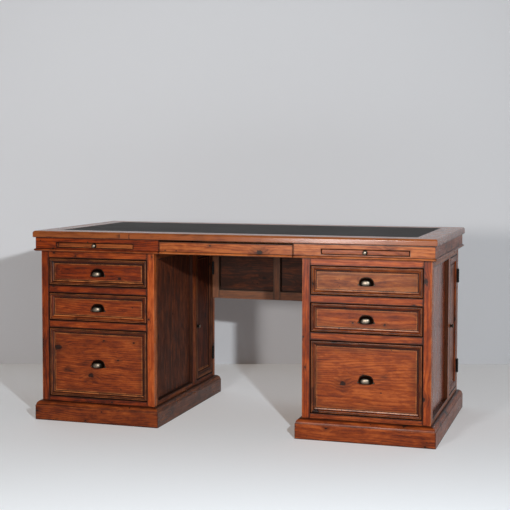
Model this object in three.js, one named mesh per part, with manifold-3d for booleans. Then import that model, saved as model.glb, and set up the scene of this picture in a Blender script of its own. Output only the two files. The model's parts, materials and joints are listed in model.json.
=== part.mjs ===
// A twin-pedestal writing desk in framed pine. A leather-topped board stands on a moulded apron that
// holds two pull-out writing slides and a shallow centre drawer. Each pedestal below it holds three
// drawers in front and a small cupboard behind, which opens through a door in the pedestal's +X side.
// Millimetres, +Z up, front towards -Y, origin on the floor under the desk's centre.
import * as THREE from "three";
import { mergeVertices } from "three/addons/utils/BufferGeometryUtils.js";
import Module from "manifold-3d";

const wasm = await Module();
wasm.setup();

// ---- Driving dimensions -------------------------------------------------------------------------
const GAP = 0.3; // left between pieces that touch

const DESK = { width: 1650, depth: 800, height: 780 };
const TOP = { thickness: 26.5, border: 90, nosing: 9, underEdge: 2, leather: 2.2, leatherDip: 0.6 };
const APRON = { height: 56, overhang: 9, thickness: 22, bead: 6, beadHeight: 10 };
const PEDESTAL = { width: 497, insetX: 23, insetY: 32.5, board: 22 };
const PLINTH = { projection: 22.5, faceHeight: 60, height: 79, fillet: 2 };

// The drawer stack from the bottom up: the openings and the rails between them.
const STACK = { bottomRail: 19.5, midRail: 29.75, stile: 32, openings: [284, 114, 113] };
const DRAWER_NAMES = ["bottom", "middle", "top"];
const DRAWER = { thickness: 20, clearance: 2.5, flat: 8, wall: 12, base: 8, depth: 417 };
const BOX = { sideClearance: 3, lift: 0.5, headroom: 18, tallest: 240 };

// The pedestal's sides along Y: a wide fixed panel in front, a post, then the cupboard's opening.
const SIDE = { panelFrom: -325, panelTo: 74, doorFrom: 120, doorTo: 333, recess: 14.5 };
const DOOR = { thickness: 20, flat: 24, hingeGap: 2.5, latchGap: 3, knobFromEdge: 13 };
const DOOR_KNOB_HEIGHT = { left: 338, right: 388 };
const HINGE = { radius: 4.5, length: 62, fromEnd: 92, stand: 0.5, leaf: 1.2, leafDepth: 14 };
const BACK = { stile: 45, rail: 60, recess: 8 };

const SLIDE = { width: 331, thickness: 16, depth: 400, bottom: 716, setBack: 1, sideGap: 3, slotGap: 2.5 };
const CENTRE_DRAWER = { width: 546, top: 747, gap: 3, boxWidth: 516, boxHeight: 38, boxDepth: 380, wall: 10 };
const GUIDE = { base: 17.5, cheek: 9.5, top: 745, kickerDepth: 17.5, kicker: 11, ledge: 4.5, length: 570 };
const MODESTY = { front: 337, bottom: 440, top: 740, bottomRail: 38, topRail: 60, stile: 32, recess: 22 };
const CASE = { bottom: 18, top: 16, partition: 14, partitionAt: 90, shelf: 12, strip: 9, stripHeight: 20 };
const PULL = { earHalf: 33.5, ears: 5, below: 2, plate: 1.6, plateHalf: 30, plateHeight: 31 };
const CUP = { half: 27, height: 28, out: 24, wall: 1.8, around: 14, outward: 5 };
const KNOB = { rose: 9.5, roseDepth: 1.6, neck: 4, head: 8.2, length: 14, sides: 16 };

// ---- Derived levels and places ------------------------------------------------------------------
const boardBottom = DESK.height - TOP.thickness;
const apronBottom = boardBottom - APRON.height;
const apronHalfX = DESK.width / 2 - APRON.overhang;
const apronHalfY = DESK.depth / 2 - APRON.overhang;
const caseBottom = PLINTH.height + GAP;
const caseTop = apronBottom - GAP;
const caseHeight = caseTop - caseBottom;
const pedestalHalf = PEDESTAL.width / 2;
const pedestalCentre = DESK.width / 2 - PEDESTAL.insetX - pedestalHalf;
const pedestalInner = pedestalCentre - pedestalHalf;
const pedestalHalfY = DESK.depth / 2 - PEDESTAL.insetY;
const sideHalfLength = pedestalHalfY - PEDESTAL.board - GAP;
const openingHalf = pedestalHalf - STACK.stile;
const stackBottom = PLINTH.height + STACK.bottomRail;
const openings = stackOpenings();
const stackTop = openings.at(-1).to;

// ---- Materials ----------------------------------------------------------------------------------
const MATERIALS = {
  pine: new THREE.MeshStandardMaterial({ color: 0x9a5a34, roughness: 0.42, metalness: 0 }),
  topPine: new THREE.MeshStandardMaterial({ color: 0x9c6a46, roughness: 0.38, metalness: 0 }),
  innerPine: new THREE.MeshStandardMaterial({ color: 0xb98c5e, roughness: 0.7, metalness: 0 }),
  leather: new THREE.MeshStandardMaterial({ color: 0x25231f, roughness: 0.5, metalness: 0 }),
  brass: new THREE.MeshStandardMaterial({ color: 0x6f6350, roughness: 0.35, metalness: 1 }),
  iron: new THREE.MeshStandardMaterial({ color: 0x1d1b1a, roughness: 0.5, metalness: 1 }),
};

// ---- Geometry helpers ---------------------------------------------------------------------------

// Turns every face outwards by the sign of the enclosed volume.
function facingOut(geometry) {
  const at = geometry.getAttribute("position");
  const index = geometry.index.array;
  const [a, b, c] = [new THREE.Vector3(), new THREE.Vector3(), new THREE.Vector3()];
  let volume = 0;
  for (let i = 0; i < index.length; i += 3) {
    a.fromBufferAttribute(at, index[i]);
    b.fromBufferAttribute(at, index[i + 1]);
    c.fromBufferAttribute(at, index[i + 2]);
    volume += a.dot(b.cross(c));
  }
  if (volume < 0) index.reverse();
  return geometry;
}

function closedGeometry(points, triangles) {
  const geometry = new THREE.BufferGeometry();
  geometry.setAttribute("position", new THREE.Float32BufferAttribute(points.flat(), 3));
  geometry.setIndex(triangles.flat());
  return facingOut(geometry);
}

function toSolid(geometry) {
  const bare = geometry.clone();
  bare.deleteAttribute("normal");
  bare.deleteAttribute("uv");
  const merged = mergeVertices(bare);
  const mesh = new wasm.Mesh({
    numProp: 3,
    vertProperties: new Float32Array(merged.getAttribute("position").array),
    triVerts: new Uint32Array(merged.index.array),
  });
  return new wasm.Manifold(mesh);
}

function toGeometry(solid) {
  const { vertProperties, triVerts } = solid.getMesh();
  const geometry = new THREE.BufferGeometry();
  geometry.setAttribute("position", new THREE.BufferAttribute(vertProperties, 3));
  geometry.setIndex(new THREE.BufferAttribute(triVerts, 1));
  return geometry;
}

function joined(...geometries) {
  return toGeometry(geometries.map(toSolid).reduce((whole, next) => whole.add(next)));
}

function cut(geometry, ...tools) {
  return toGeometry(tools.map(toSolid).reduce((whole, tool) => whole.subtract(tool), toSolid(geometry)));
}

function block([x0, x1], [y0, y1], [z0, z1]) {
  const geometry = new THREE.BoxGeometry(x1 - x0, y1 - y0, z1 - z0);
  return geometry.translate((x0 + x1) / 2, (y0 + y1) / 2, (z0 + z1) / 2);
}

// Points on an ellipse's arc, from one angle to another in degrees.
function arc([centreA, centreB], [radiusA, radiusB], from, to, steps) {
  const points = [];
  for (let i = 0; i <= steps; i++) {
    const angle = THREE.MathUtils.degToRad(from + ((to - from) * i) / steps);
    points.push([centreA + radiusA * Math.cos(angle), centreB + radiusB * Math.sin(angle)]);
  }
  return points;
}

// An outline in the XZ plane, extruded along Y.
function extrudedAlongY(outline, from, to) {
  const shape = new THREE.Shape(outline.map(([x, z]) => new THREE.Vector2(x, z)));
  const geometry = new THREE.ExtrudeGeometry(shape, { depth: to - from, bevelEnabled: false });
  return geometry.rotateX(Math.PI / 2).translate(0, to, 0);
}

// An outline in the YZ plane, extruded along X.
function extrudedAlongX(outline, from, to) {
  const shape = new THREE.Shape(outline.map(([y, z]) => new THREE.Vector2(y, z)));
  const geometry = new THREE.ExtrudeGeometry(shape, { depth: to - from, bevelEnabled: false });
  const turn = new THREE.Matrix4().makeBasis(
    new THREE.Vector3(0, 1, 0),
    new THREE.Vector3(0, 0, 1),
    new THREE.Vector3(1, 0, 0),
  );
  return geometry.applyMatrix4(turn).translate(from, 0, 0);
}

// A board with rectangular sinkings in the face towards -Y at y = 0. One as deep as the board is thick
// goes right through.
function sunkBoard(spanX, spanZ, thickness, sinkings, depth) {
  const through = depth < thickness ? depth : thickness + 1;
  const tools = sinkings.map(([x, z]) => block(x, [-1, through], z));
  return cut(block(spanX, [0, thickness], spanZ), ...tools);
}

// A length of moulding along X from 0, its outer side at y = 0. Profile points are [inwards, height].
// A mitred end runs at 45 degrees, so two lengths meet at the frame's corner.
function mouldedLength(profile, length, mitreStart, mitreEnd) {
  const count = profile.length;
  const start = profile.map(([inwards, z]) => [mitreStart ? inwards : 0, inwards, z]);
  const end = profile.map(([inwards, z]) => [mitreEnd ? length - inwards : length, inwards, z]);
  const caps = THREE.ShapeUtils.triangulateShape(profile.map(([w, z]) => new THREE.Vector2(w, z)), []);
  const triangles = [];
  for (const [a, b, c] of caps) {
    triangles.push([a, b, c], [count + a, count + c, count + b]);
  }
  const turnsLeft = THREE.ShapeUtils.area(profile.map(([w, z]) => new THREE.Vector2(w, z))) > 0;
  for (let i = 0; i < count; i++) {
    const next = (i + 1) % count;
    const [a, b] = turnsLeft ? [next, i] : [i, next];
    triangles.push([a, b, count + b], [a, count + b, count + a]);
  }
  return closedGeometry([...start, ...end], triangles);
}

// A closed rectangular ring of moulding. Profile points are [inwards, height].
function mouldedRing([x0, x1], [y0, y1], profile) {
  const points = profile.flatMap(([w, z]) => [
    [x0 + w, y0 + w, z],
    [x1 - w, y0 + w, z],
    [x1 - w, y1 - w, z],
    [x0 + w, y1 - w, z],
  ]);
  return closedGeometry(points, ringTriangles(profile.length, true));
}

// Quads between successive rings of four corners, closed from the last ring to the first if asked.
function ringTriangles(rings, closed) {
  const triangles = [];
  for (let ring = 0; ring < (closed ? rings : rings - 1); ring++) {
    const here = ring * 4;
    const there = ((ring + 1) % rings) * 4;
    for (let corner = 0; corner < 4; corner++) {
      const next = (corner + 1) % 4;
      triangles.push([here + corner, here + next, there + next], [here + corner, there + next, there + corner]);
    }
  }
  return triangles;
}

// A front whose moulded border frames a sunk flat panel. It faces -Y with its outer face at y = 0.
function mouldedFront(width, height, thickness, profile) {
  const rings = [[0, thickness], ...profile];
  const points = rings.flatMap(([w, depth]) => [
    [w - width / 2, depth, w - height / 2],
    [width / 2 - w, depth, w - height / 2],
    [width / 2 - w, depth, height / 2 - w],
    [w - width / 2, depth, height / 2 - w],
  ]);
  const inner = (rings.length - 1) * 4;
  const caps = [[0, 2, 1], [0, 3, 2], [inner, inner + 1, inner + 2], [inner, inner + 2, inner + 3]];
  return closedGeometry(points, [...ringTriangles(rings.length, false), ...caps]);
}

function part(name, geometry, material, [x, y, z] = [0, 0, 0], turn = 0) {
  const mesh = new THREE.Mesh(geometry, MATERIALS[material]);
  mesh.name = name;
  mesh.position.set(x, y, z);
  mesh.rotation.z = turn;
  return mesh;
}

function group(...children) {
  const made = new THREE.Group();
  made.add(...children);
  return made;
}

// ---- Profiles -----------------------------------------------------------------------------------

// The border of a drawer or door front, [inwards, depth]: a rounded outer edge, a flat, a quirk,
// a hollow that falls to the panel and a small bead against it.
function frontBorder(flat) {
  return [
    [0, 3],
    [0.9, 0.9],
    [3, 0],
    [flat, 0],
    [flat + 0.6, 1.6],
    [flat + 1.6, 1.8],
    [flat + 4.5, 3],
    [flat + 8, 5.2],
    [flat + 11, 7.2],
    [flat + 11.6, 6],
    [flat + 13, 5.8],
    [flat + 14, 8],
  ];
}

// The top's frame: a round nosing over a small under-edge.
function topProfile() {
  const { nosing, underEdge, border } = TOP;
  return [
    [underEdge, boardBottom],
    ...arc([underEdge, boardBottom + underEdge], [underEdge, underEdge], -90, -180, 2).slice(1),
    ...arc([nosing, DESK.height - nosing], [nosing, nosing], 180, 90, 5),
    [border, DESK.height],
    [border, boardBottom],
  ];
}

// The apron: a half-round bead along the foot of a flat face.
function apronProfile(top) {
  const { bead, beadHeight, thickness } = APRON;
  return [
    ...arc([bead, apronBottom + beadHeight / 2], [bead, beadHeight / 2], 270, 90, 6),
    [bead, top],
    [bead + thickness, top],
    [bead + thickness, apronBottom],
  ];
}

// The plinth: a flat face under a quarter-round shoulder.
function plinthProfile() {
  const { projection, faceHeight, height, fillet } = PLINTH;
  const inner = projection + PEDESTAL.board;
  return [
    [0, 0],
    [0, faceHeight],
    ...arc([projection, faceHeight], [projection - fillet, height - faceHeight], 180, 90, 6),
    [inner, height],
    [inner, 0],
  ];
}

// ---- The top ------------------------------------------------------------------------------------

function top() {
  const profile = topProfile();
  const { width, depth, height } = DESK;
  const shortBy = 1.5 * GAP;
  const long = mouldedLength(profile, width, true, true);
  const short = mouldedLength(profile, depth - 2 * shortBy, true, true);
  const innerX = width / 2 - TOP.border - GAP;
  const innerY = depth / 2 - TOP.border - GAP;
  const leatherTop = height - TOP.leatherDip;
  const core = block([-innerX, innerX], [-innerY, innerY], [boardBottom, leatherTop - TOP.leather - GAP]);
  const leather = block([-innerX, innerX], [-innerY, innerY], [leatherTop - TOP.leather, leatherTop]);
  return group(
    part("top_frame_front", long, "topPine", [-width / 2, -depth / 2, 0]),
    part("top_frame_rear", long, "topPine", [width / 2, depth / 2, 0], Math.PI),
    part("top_frame_right", short, "topPine", [width / 2, shortBy - depth / 2, 0], Math.PI / 2),
    part("top_frame_left", short, "topPine", [-width / 2, depth / 2 - shortBy, 0], -Math.PI / 2),
    part("top_core", core, "innerPine"),
    part("leather_inset", leather, "leather"),
  );
}

// ---- The apron, its slides and the centre drawer ------------------------------------------------

function slideOpening() {
  const half = SLIDE.width / 2 + SLIDE.sideGap;
  const { bottom, thickness, slotGap } = SLIDE;
  return [[pedestalCentre - half, pedestalCentre + half], [bottom - slotGap, bottom + thickness + slotGap]];
}

function apron() {
  const profile = apronProfile(boardBottom - GAP);
  const outerX = apronHalfX + APRON.bead;
  const outerY = apronHalfY + APRON.bead;
  const frontEnd = CENTRE_DRAWER.width / 2 + CENTRE_DRAWER.gap;
  const frontLength = outerX - frontEnd;
  const shortBy = 1.5 * GAP;
  const [[slotFrom, slotTo], slotHeight] = slideOpening();
  const throughBoard = [-1, APRON.bead + APRON.thickness + 1];
  const frontLeft = cut(
    mouldedLength(profile, frontLength, true, false),
    block([outerX - slotTo, outerX - slotFrom], throughBoard, slotHeight),
  );
  const frontRight = cut(
    mouldedLength(profile, frontLength, false, true),
    block([slotFrom - frontEnd, slotTo - frontEnd], throughBoard, slotHeight),
  );
  const side = mouldedLength(profile, 2 * (outerY - shortBy), true, true);
  const rear = mouldedLength(profile, 2 * outerX, true, true);
  return group(
    part("apron_front_left", frontLeft, "pine", [-outerX, -outerY, 0]),
    part("apron_front_right", frontRight, "pine", [frontEnd, -outerY, 0]),
    part("apron_right", side, "pine", [outerX, shortBy - outerY, 0], Math.PI / 2),
    part("apron_left", side, "pine", [-outerX, outerY - shortBy, 0], -Math.PI / 2),
    part("apron_rear", rear, "pine", [outerX, outerY, 0], Math.PI),
  );
}

// A turned knob on a small rose. It points along -Y from y = 0.
function knobGeometry() {
  const { rose, roseDepth, neck, head, length, sides } = KNOB;
  const outline = [
    [0, 0],
    [rose, 0],
    [rose, roseDepth * 0.6],
    [rose - 1, roseDepth],
    [neck + 0.8, roseDepth + 0.4],
    [neck, length * 0.42],
    [head * 0.8, length * 0.55],
    [head, length * 0.7],
    [head * 0.86, length * 0.88],
    [head * 0.5, length * 0.98],
    [0, length],
  ];
  const profile = outline.map(([radius, along]) => new THREE.Vector2(radius, along));
  const turned = new THREE.LatheGeometry(profile, sides).rotateX(Math.PI);
  return toGeometry(toSolid(turned));
}

function writingSlide(side, sign) {
  const { width, thickness, depth, bottom, setBack } = SLIDE;
  const front = -apronHalfY + setBack;
  const board = block([-width / 2, width / 2], [front, front + depth], [bottom, bottom + thickness]);
  const knobAt = [sign * pedestalCentre, front - GAP, bottom + thickness / 2];
  return group(
    part(`writing_slide_${side}`, board, "pine", [sign * pedestalCentre, 0, 0]),
    part(`slide_knob_${side}`, knobGeometry(), "brass", knobAt),
  );
}

// The board that carries a writing slide between cheeks and kickers, and one side of the centre drawer.
// The outline is the right-hand one, in X and Z.
function friezeGuide(side, sign) {
  const { cheek, top: cheekTop, kickerDepth, kicker, ledge, length, base } = GUIDE;
  const low = apronBottom + 2 * GAP;
  const slideHalf = SLIDE.width / 2 + SLIDE.sideGap;
  const [slotIn, slotOut] = [pedestalCentre - slideHalf, pedestalCentre + slideHalf];
  const floor = low + base;
  const kickerUnder = cheekTop - kicker;
  const outer = apronHalfX - APRON.thickness - 1;
  const drawerSide = CENTRE_DRAWER.boxWidth / 2 + 4;
  const outline = [
    [drawerSide - kickerDepth, low],
    [outer, low],
    [outer, floor],
    [slotOut + cheek, floor],
    [slotOut + cheek, cheekTop],
    [slotOut - kickerDepth, cheekTop],
    [slotOut - kickerDepth, kickerUnder],
    [slotOut, kickerUnder],
    [slotOut, floor],
    [slotIn, floor],
    [slotIn, kickerUnder],
    [slotIn + kickerDepth, kickerUnder],
    [slotIn + kickerDepth, cheekTop],
    [slotIn - cheek, cheekTop],
    [slotIn - cheek, floor],
    [drawerSide + cheek, floor],
    [drawerSide + cheek, cheekTop],
    [drawerSide, cheekTop],
    [drawerSide, low + ledge],
    [drawerSide - kickerDepth, low + ledge],
  ].map(([x, z]) => [sign * x, z]);
  const front = -apronHalfY + APRON.thickness + GAP;
  return part(`frieze_guide_${side}`, extrudedAlongY(outline, front, front + length), "innerPine");
}

// An open drawer box, centred on X, its outside front at y = 0.
function drawerBox(width, height, depth, wall, base) {
  const outside = block([-width / 2, width / 2], [0, depth], [0, height]);
  const inside = block([wall - width / 2, width / 2 - wall], [wall, depth - wall], [base, height + 1]);
  return cut(outside, inside);
}

function centreDrawer() {
  const { width, top: drawerTop, boxWidth, boxHeight, boxDepth, wall } = CENTRE_DRAWER;
  const front = mouldedLength(apronProfile(drawerTop), width, false, false);
  const boxFront = -apronHalfY + APRON.thickness + GAP;
  const boxBottom = apronBottom + 2 * GAP + GUIDE.ledge + 1;
  const box = drawerBox(boxWidth, boxHeight, boxDepth, wall, wall / 2);
  return group(
    part("centre_drawer_front", front, "pine", [-width / 2, -apronHalfY - APRON.bead, 0]),
    part("centre_drawer_box", box, "innerPine", [0, boxFront, boxBottom]),
  );
}

// ---- The modesty panel across the back of the kneehole ------------------------------------------

function modestyPanel() {
  const { front, bottom, top: panelTop, bottomRail, topRail, stile, recess } = MODESTY;
  const half = pedestalInner - GAP;
  const sunkZ = [bottom + bottomRail, panelTop - topRail];
  const sinkings = [
    [[-half + stile, -stile / 2], sunkZ],
    [[stile / 2, half - stile], sunkZ],
  ];
  const thickness = pedestalHalfY - front;
  const board = sunkBoard([-half, half], [bottom, panelTop], thickness, sinkings, recess);
  return part("modesty_panel", board, "pine", [0, front, 0]);
}

// ---- A pedestal ---------------------------------------------------------------------------------

function stackOpenings() {
  let from = stackBottom;
  return STACK.openings.map((height, row) => {
    const opening = { name: DRAWER_NAMES[row], from, to: from + height };
    from = opening.to + STACK.midRail;
    return opening;
  });
}

function plinth(side) {
  const x = pedestalHalf + PLINTH.projection;
  const y = pedestalHalfY + PLINTH.projection;
  return part(`${side}_plinth`, mouldedRing([-x, x], [-y, y], plinthProfile()), "pine");
}

function faceFrame(side) {
  const gaps = openings.map(({ from, to }) => [[-openingHalf, openingHalf], [from, to]]);
  const span = [-pedestalHalf, pedestalHalf];
  const board = sunkBoard(span, [caseBottom, caseTop], PEDESTAL.board, gaps, PEDESTAL.board);
  return part(`${side}_face_frame`, board, "pine", [0, -pedestalHalfY, 0]);
}

// The side with the door: an open frame, with its wide front panel as a piece of its own.
function doorSide(side) {
  const { panelFrom, panelTo, doorFrom, doorTo, recess } = SIDE;
  const gaps = [[panelFrom, panelTo], [doorFrom, doorTo]].map((span) => [span, [stackBottom, stackTop]]);
  const span = [-sideHalfLength, sideHalfLength];
  const frame = sunkBoard(span, [caseBottom, caseTop], PEDESTAL.board, gaps, PEDESTAL.board);
  const panel = block(
    [panelFrom + GAP, panelTo - GAP],
    [recess, PEDESTAL.board],
    [stackBottom + GAP, stackTop - GAP],
  );
  return group(
    part(`${side}_door_side_frame`, frame, "pine", [pedestalHalf, 0, 0], Math.PI / 2),
    part(`${side}_door_side_panel`, panel, "pine", [pedestalHalf, 0, 0], Math.PI / 2),
  );
}

// The side without a door: a framed board with two sunk panels, laid out as on the door's side.
function plainSide(side) {
  const { panelFrom, panelTo, doorFrom, doorTo, recess } = SIDE;
  const spans = [[-panelTo, -panelFrom], [-doorTo, -doorFrom]];
  const sinkings = spans.map((span) => [span, [stackBottom, stackTop]]);
  const span = [-sideHalfLength, sideHalfLength];
  const board = sunkBoard(span, [caseBottom, caseTop], PEDESTAL.board, sinkings, recess);
  return part(`${side}_plain_side`, board, "pine", [-pedestalHalf, 0, 0], -Math.PI / 2);
}

function back(side) {
  const { stile, rail, recess } = BACK;
  const sinkings = [
    [[stile - pedestalHalf, -stile / 2], [caseBottom + rail, caseTop - rail]],
    [[stile / 2, pedestalHalf - stile], [caseBottom + rail, caseTop - rail]],
  ];
  const span = [-pedestalHalf, pedestalHalf];
  const board = sunkBoard(span, [caseBottom, caseTop], PEDESTAL.board, sinkings, recess);
  return part(`${side}_back`, board, "pine", [0, pedestalHalfY, 0], Math.PI);
}

// The boards inside: floor, ceiling, the partition before the cupboard, a dust board under each
// upper drawer, and a guide strip on both sides of every drawer.
function innerCase(side) {
  const { bottom, top: ceiling, partition, partitionAt, shelf, strip, stripHeight } = CASE;
  const half = pedestalHalf - PEDESTAL.board - GAP;
  const front = -sideHalfLength;
  const floor = caseBottom + bottom;
  const shelves = openings.slice(1).flatMap(({ from }) => [
    [partitionAt, from - BOX.lift - shelf],
    [front, from - BOX.lift - shelf],
    [front, from - BOX.lift],
    [partitionAt, from - BOX.lift],
  ]);
  const outline = [
    [front, caseBottom],
    [sideHalfLength, caseBottom],
    [sideHalfLength, floor],
    [partitionAt + partition, floor],
    [partitionAt + partition, caseTop - ceiling],
    [sideHalfLength, caseTop - ceiling],
    [sideHalfLength, caseTop],
    [front, caseTop],
    [front, caseTop - ceiling],
    [partitionAt, caseTop - ceiling],
    ...shelves.reverse(),
    [partitionAt, floor],
    [front, floor],
  ];
  const boards = extrudedAlongX(outline, -half, half);
  const strips = openings.flatMap(({ from }, row) => {
    const under = (row === 0 ? floor : from - BOX.lift) - GAP;
    return [-1, 1].map((sign) => {
      const span = [sign * half, sign * (half - strip)].sort((a, b) => a - b);
      return block(span, [front, partitionAt + GAP], [under, under + stripHeight]);
    });
  });
  return part(`${side}_inner_case`, joined(boards, ...strips), "innerPine");
}

// A half-dome cup over a D-shaped plate with two ears. The plate's back is at y = 0, the cup faces -Y
// and is open below.
function cupPullGeometry() {
  const { earHalf, ears, below, plate, plateHalf, plateHeight } = PULL;
  const outline = [
    [-earHalf, -below],
    [earHalf, -below],
    [earHalf, ears],
    ...arc([0, 0], [plateHalf, plateHeight], 10, 170, CUP.around),
    [-earHalf, ears],
  ];
  const backPlate = extrudedAlongY(outline, -plate, 0);
  return joined(backPlate, domeShell().translate(0, -plate / 2, 0));
}

// A quarter of a thin ellipsoid shell, closed above and in front, open below and behind.
function domeShell() {
  const { half, height, out, wall, around, outward } = CUP;
  const points = [];
  for (const less of [0, wall]) {
    for (let i = 0; i <= around; i++) {
      for (let j = 0; j < outward; j++) {
        const turn = (Math.PI * i) / around;
        const lift = (Math.PI / 2) * (j / outward);
        const flat = Math.cos(lift);
        const x = (half - less) * Math.cos(turn) * flat;
        const z = (height - less) * Math.sin(turn) * flat;
        points.push([x, -(out - less) * Math.sin(lift), z]);
      }
    }
    points.push([0, -(out - less), 0]);
  }
  const layer = (around + 1) * outward + 1;
  const at = (shell, i, j) => shell * layer + (j === outward ? layer - 1 : i * outward + j);
  const triangles = [];
  const quad = (a, b, c, d) => triangles.push([a, b, c], [a, c, d]);
  for (let i = 0; i < around; i++) {
    for (let j = 0; j < outward; j++) {
      quad(at(0, i, j), at(0, i, j + 1), at(0, i + 1, j + 1), at(0, i + 1, j));
      quad(at(1, i, j), at(1, i + 1, j), at(1, i + 1, j + 1), at(1, i, j + 1));
    }
    quad(at(0, i, 0), at(0, i + 1, 0), at(1, i + 1, 0), at(1, i, 0));
  }
  for (let j = 0; j < outward; j++) {
    quad(at(0, 0, j), at(1, 0, j), at(1, 0, j + 1), at(0, 0, j + 1));
    quad(at(0, around, j), at(0, around, j + 1), at(1, around, j + 1), at(1, around, j));
  }
  const whole = triangles.filter(([a, b, c]) => a !== b && b !== c && a !== c);
  return closedGeometry(points, whole);
}

function drawer(side, { name, from, to }) {
  const { thickness, clearance, flat, wall, base, depth } = DRAWER;
  const width = 2 * (openingHalf - clearance);
  const height = to - from - 2 * clearance;
  const centreZ = (from + to) / 2;
  const front = mouldedFront(width, height, thickness, frontBorder(flat));
  const boxWidth = 2 * (openingHalf - BOX.sideClearance);
  const boxHeight = Math.min(to - from - BOX.headroom, BOX.tallest);
  const box = drawerBox(boxWidth, boxHeight, depth, wall, base);
  const panelDepth = frontBorder(flat).at(-1)[1];
  const pullZ = centreZ - PULL.plateHeight / 2 + PULL.below / 2;
  const stem = `${side}_${name}_drawer`;
  return group(
    part(`${stem}_front`, front, "pine", [0, -pedestalHalfY, centreZ]),
    part(`${stem}_box`, box, "innerPine", [0, -pedestalHalfY + thickness + GAP, from + BOX.lift]),
    part(`${stem}_pull`, cupPullGeometry(), "brass", [0, -pedestalHalfY + panelDepth - GAP, pullZ]),
  );
}

// The knuckle stands proud of the pedestal's face, and its leaf lies on the door's edge.
function hinge(name, [x, y], z) {
  const { radius, length, leaf, leafDepth } = HINGE;
  const knuckle = new THREE.CylinderGeometry(radius, radius, length, 16).rotateX(Math.PI / 2);
  const leafFrom = GAP - DOOR.hingeGap / 2;
  const plate = block([-leafDepth - radius, 0], [leafFrom, leafFrom + leaf], [-length / 2, length / 2]);
  return part(name, joined(knuckle, plate), "iron", [x, y, z]);
}

function door(side) {
  const { thickness, flat, hingeGap, latchGap, knobFromEdge } = DOOR;
  const [front, rear] = [SIDE.doorFrom + latchGap, SIDE.doorTo - hingeGap];
  const [low, high] = [stackBottom + hingeGap, stackTop - hingeGap];
  const leaf = mouldedFront(rear - front, high - low, thickness, frontBorder(flat));
  const axis = [pedestalHalf + HINGE.radius + HINGE.stand, SIDE.doorTo - hingeGap / 2];
  const knobAt = [pedestalHalf + GAP, front + knobFromEdge, DOOR_KNOB_HEIGHT[side]];
  return group(
    part(`${side}_door`, leaf, "pine", [pedestalHalf, (front + rear) / 2, (low + high) / 2], Math.PI / 2),
    part(`${side}_door_knob`, knobGeometry(), "brass", knobAt, Math.PI / 2),
    hinge(`${side}_door_hinge_upper`, axis, stackTop - HINGE.fromEnd),
    hinge(`${side}_door_hinge_lower`, axis, stackBottom + HINGE.fromEnd),
  );
}

function pedestal(side, sign) {
  const made = group(
    plinth(side),
    faceFrame(side),
    doorSide(side),
    plainSide(side),
    back(side),
    innerCase(side),
    door(side),
    ...openings.map((opening) => drawer(side, opening)),
  );
  made.position.x = sign * pedestalCentre;
  return made;
}

// ---- The desk -----------------------------------------------------------------------------------

const desk = group(
  top(),
  apron(),
  writingSlide("left", -1),
  writingSlide("right", 1),
  friezeGuide("left", -1),
  friezeGuide("right", 1),
  centreDrawer(),
  modestyPanel(),
  pedestal("left", -1),
  pedestal("right", 1),
);

export default desk;
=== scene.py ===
"""The looks of a pedestal writing desk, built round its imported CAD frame.

Every visible piece is made here of its separate boards or fittings, in the place that its CAD node
holds. Each board carries its own wood coordinates, so that the grain runs along it and moves with it.
"""

import json
import math
import random
from typing import NamedTuple

import bmesh
import bpy
from mathutils import Matrix, Vector


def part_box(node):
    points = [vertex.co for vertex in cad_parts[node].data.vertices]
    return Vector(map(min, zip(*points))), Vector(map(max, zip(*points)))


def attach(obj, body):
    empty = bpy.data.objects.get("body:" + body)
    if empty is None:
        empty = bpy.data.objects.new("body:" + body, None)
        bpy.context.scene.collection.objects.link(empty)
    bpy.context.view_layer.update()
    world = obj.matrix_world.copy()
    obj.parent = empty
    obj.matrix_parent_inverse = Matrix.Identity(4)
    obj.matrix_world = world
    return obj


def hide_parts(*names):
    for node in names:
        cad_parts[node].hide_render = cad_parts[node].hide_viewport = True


MM = 0.001
RIGHT, BACK, UP = Vector((1, 0, 0)), Vector((0, 1, 0)), Vector((0, 0, 1))
ALONG_X, ALONG_Y, ALONG_Z = 0, 1, 2
SIDES = ("left", "right")
# The four sides of the desk, each with the way round it and the way inward.
AROUND = (
    ("front", RIGHT, BACK), ("right", BACK, -RIGHT), ("rear", -RIGHT, -BACK), ("left", -BACK, RIGHT)
)
draw = random.Random(41)

# ---- The dimensions that a CAD node's box doesn't give, in millimetres ----
BOARD, STILE = 22, 32
TOP_THICKNESS, TOP_BORDER, NOSING, UNDER_EDGE = 26.5, 90, 9, 2
LEATHER_EDGE, TOOLING = 3, {17.8: 0.25, 18.6: 0.4, 19.4: 0.25}
LEATHER_LINES = (0, 0.3, 0.8, 1.6, 3, 5, 17, *TOOLING, 20.2, 22, 40)
APRON_HEIGHT, APRON_THICKNESS, BEAD, BEAD_HEIGHT = 55.7, 22, 6, 10
# The third number is how far the painted shade round a slide's slot fades along the apron.
SLOT_FROM, SLOT_TO, SLOT_SHADE_FADE, SLIDE_GAP, SLIDE_LIPPING = 16, 37, 5, 3, 45
PLINTH_OUT, PLINTH_FACE, PLINTH_HEIGHT, PLINTH_FILLET = 22.5, 60, 79, 2
SIDE_PANEL, SIDE_DOOR, SIDE_RECESS = (-325, 74), (120, 333), 14.5
BACK_STILE, BACK_RAILS, BACK_RECESS = 45, (60, 60), 8
MODESTY_RAILS, MODESTY_RECESS = (38, 60), 22
DRAWERS, DRAWER_GAP, DRAWER_FLAT, DOOR_FLAT = ("bottom", "middle", "top"), 2.5, 8, 24
FRONT_THICKNESS, FIELD_DEPTH, BORDER_PAST_FLAT, GROOVE_DEPTH = 20, 6.9, 12.6, 9.4
BOX_WALL, BOX_BASE, CENTRE_BOX_WALL, CENTRE_BOX_BASE, BOX_GROOVE = 12, 8, 10, 5, 1.5
GUIDE = (17.5, 9.5, 11, 17.5, 4.5)  # the base, cheek, kicker, kicker's width and ledge
CASE_FLOOR, CASE_TOP, CASE_PARTITION, CASE_SHELF = 18, 16, (90, 104), 12
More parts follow.
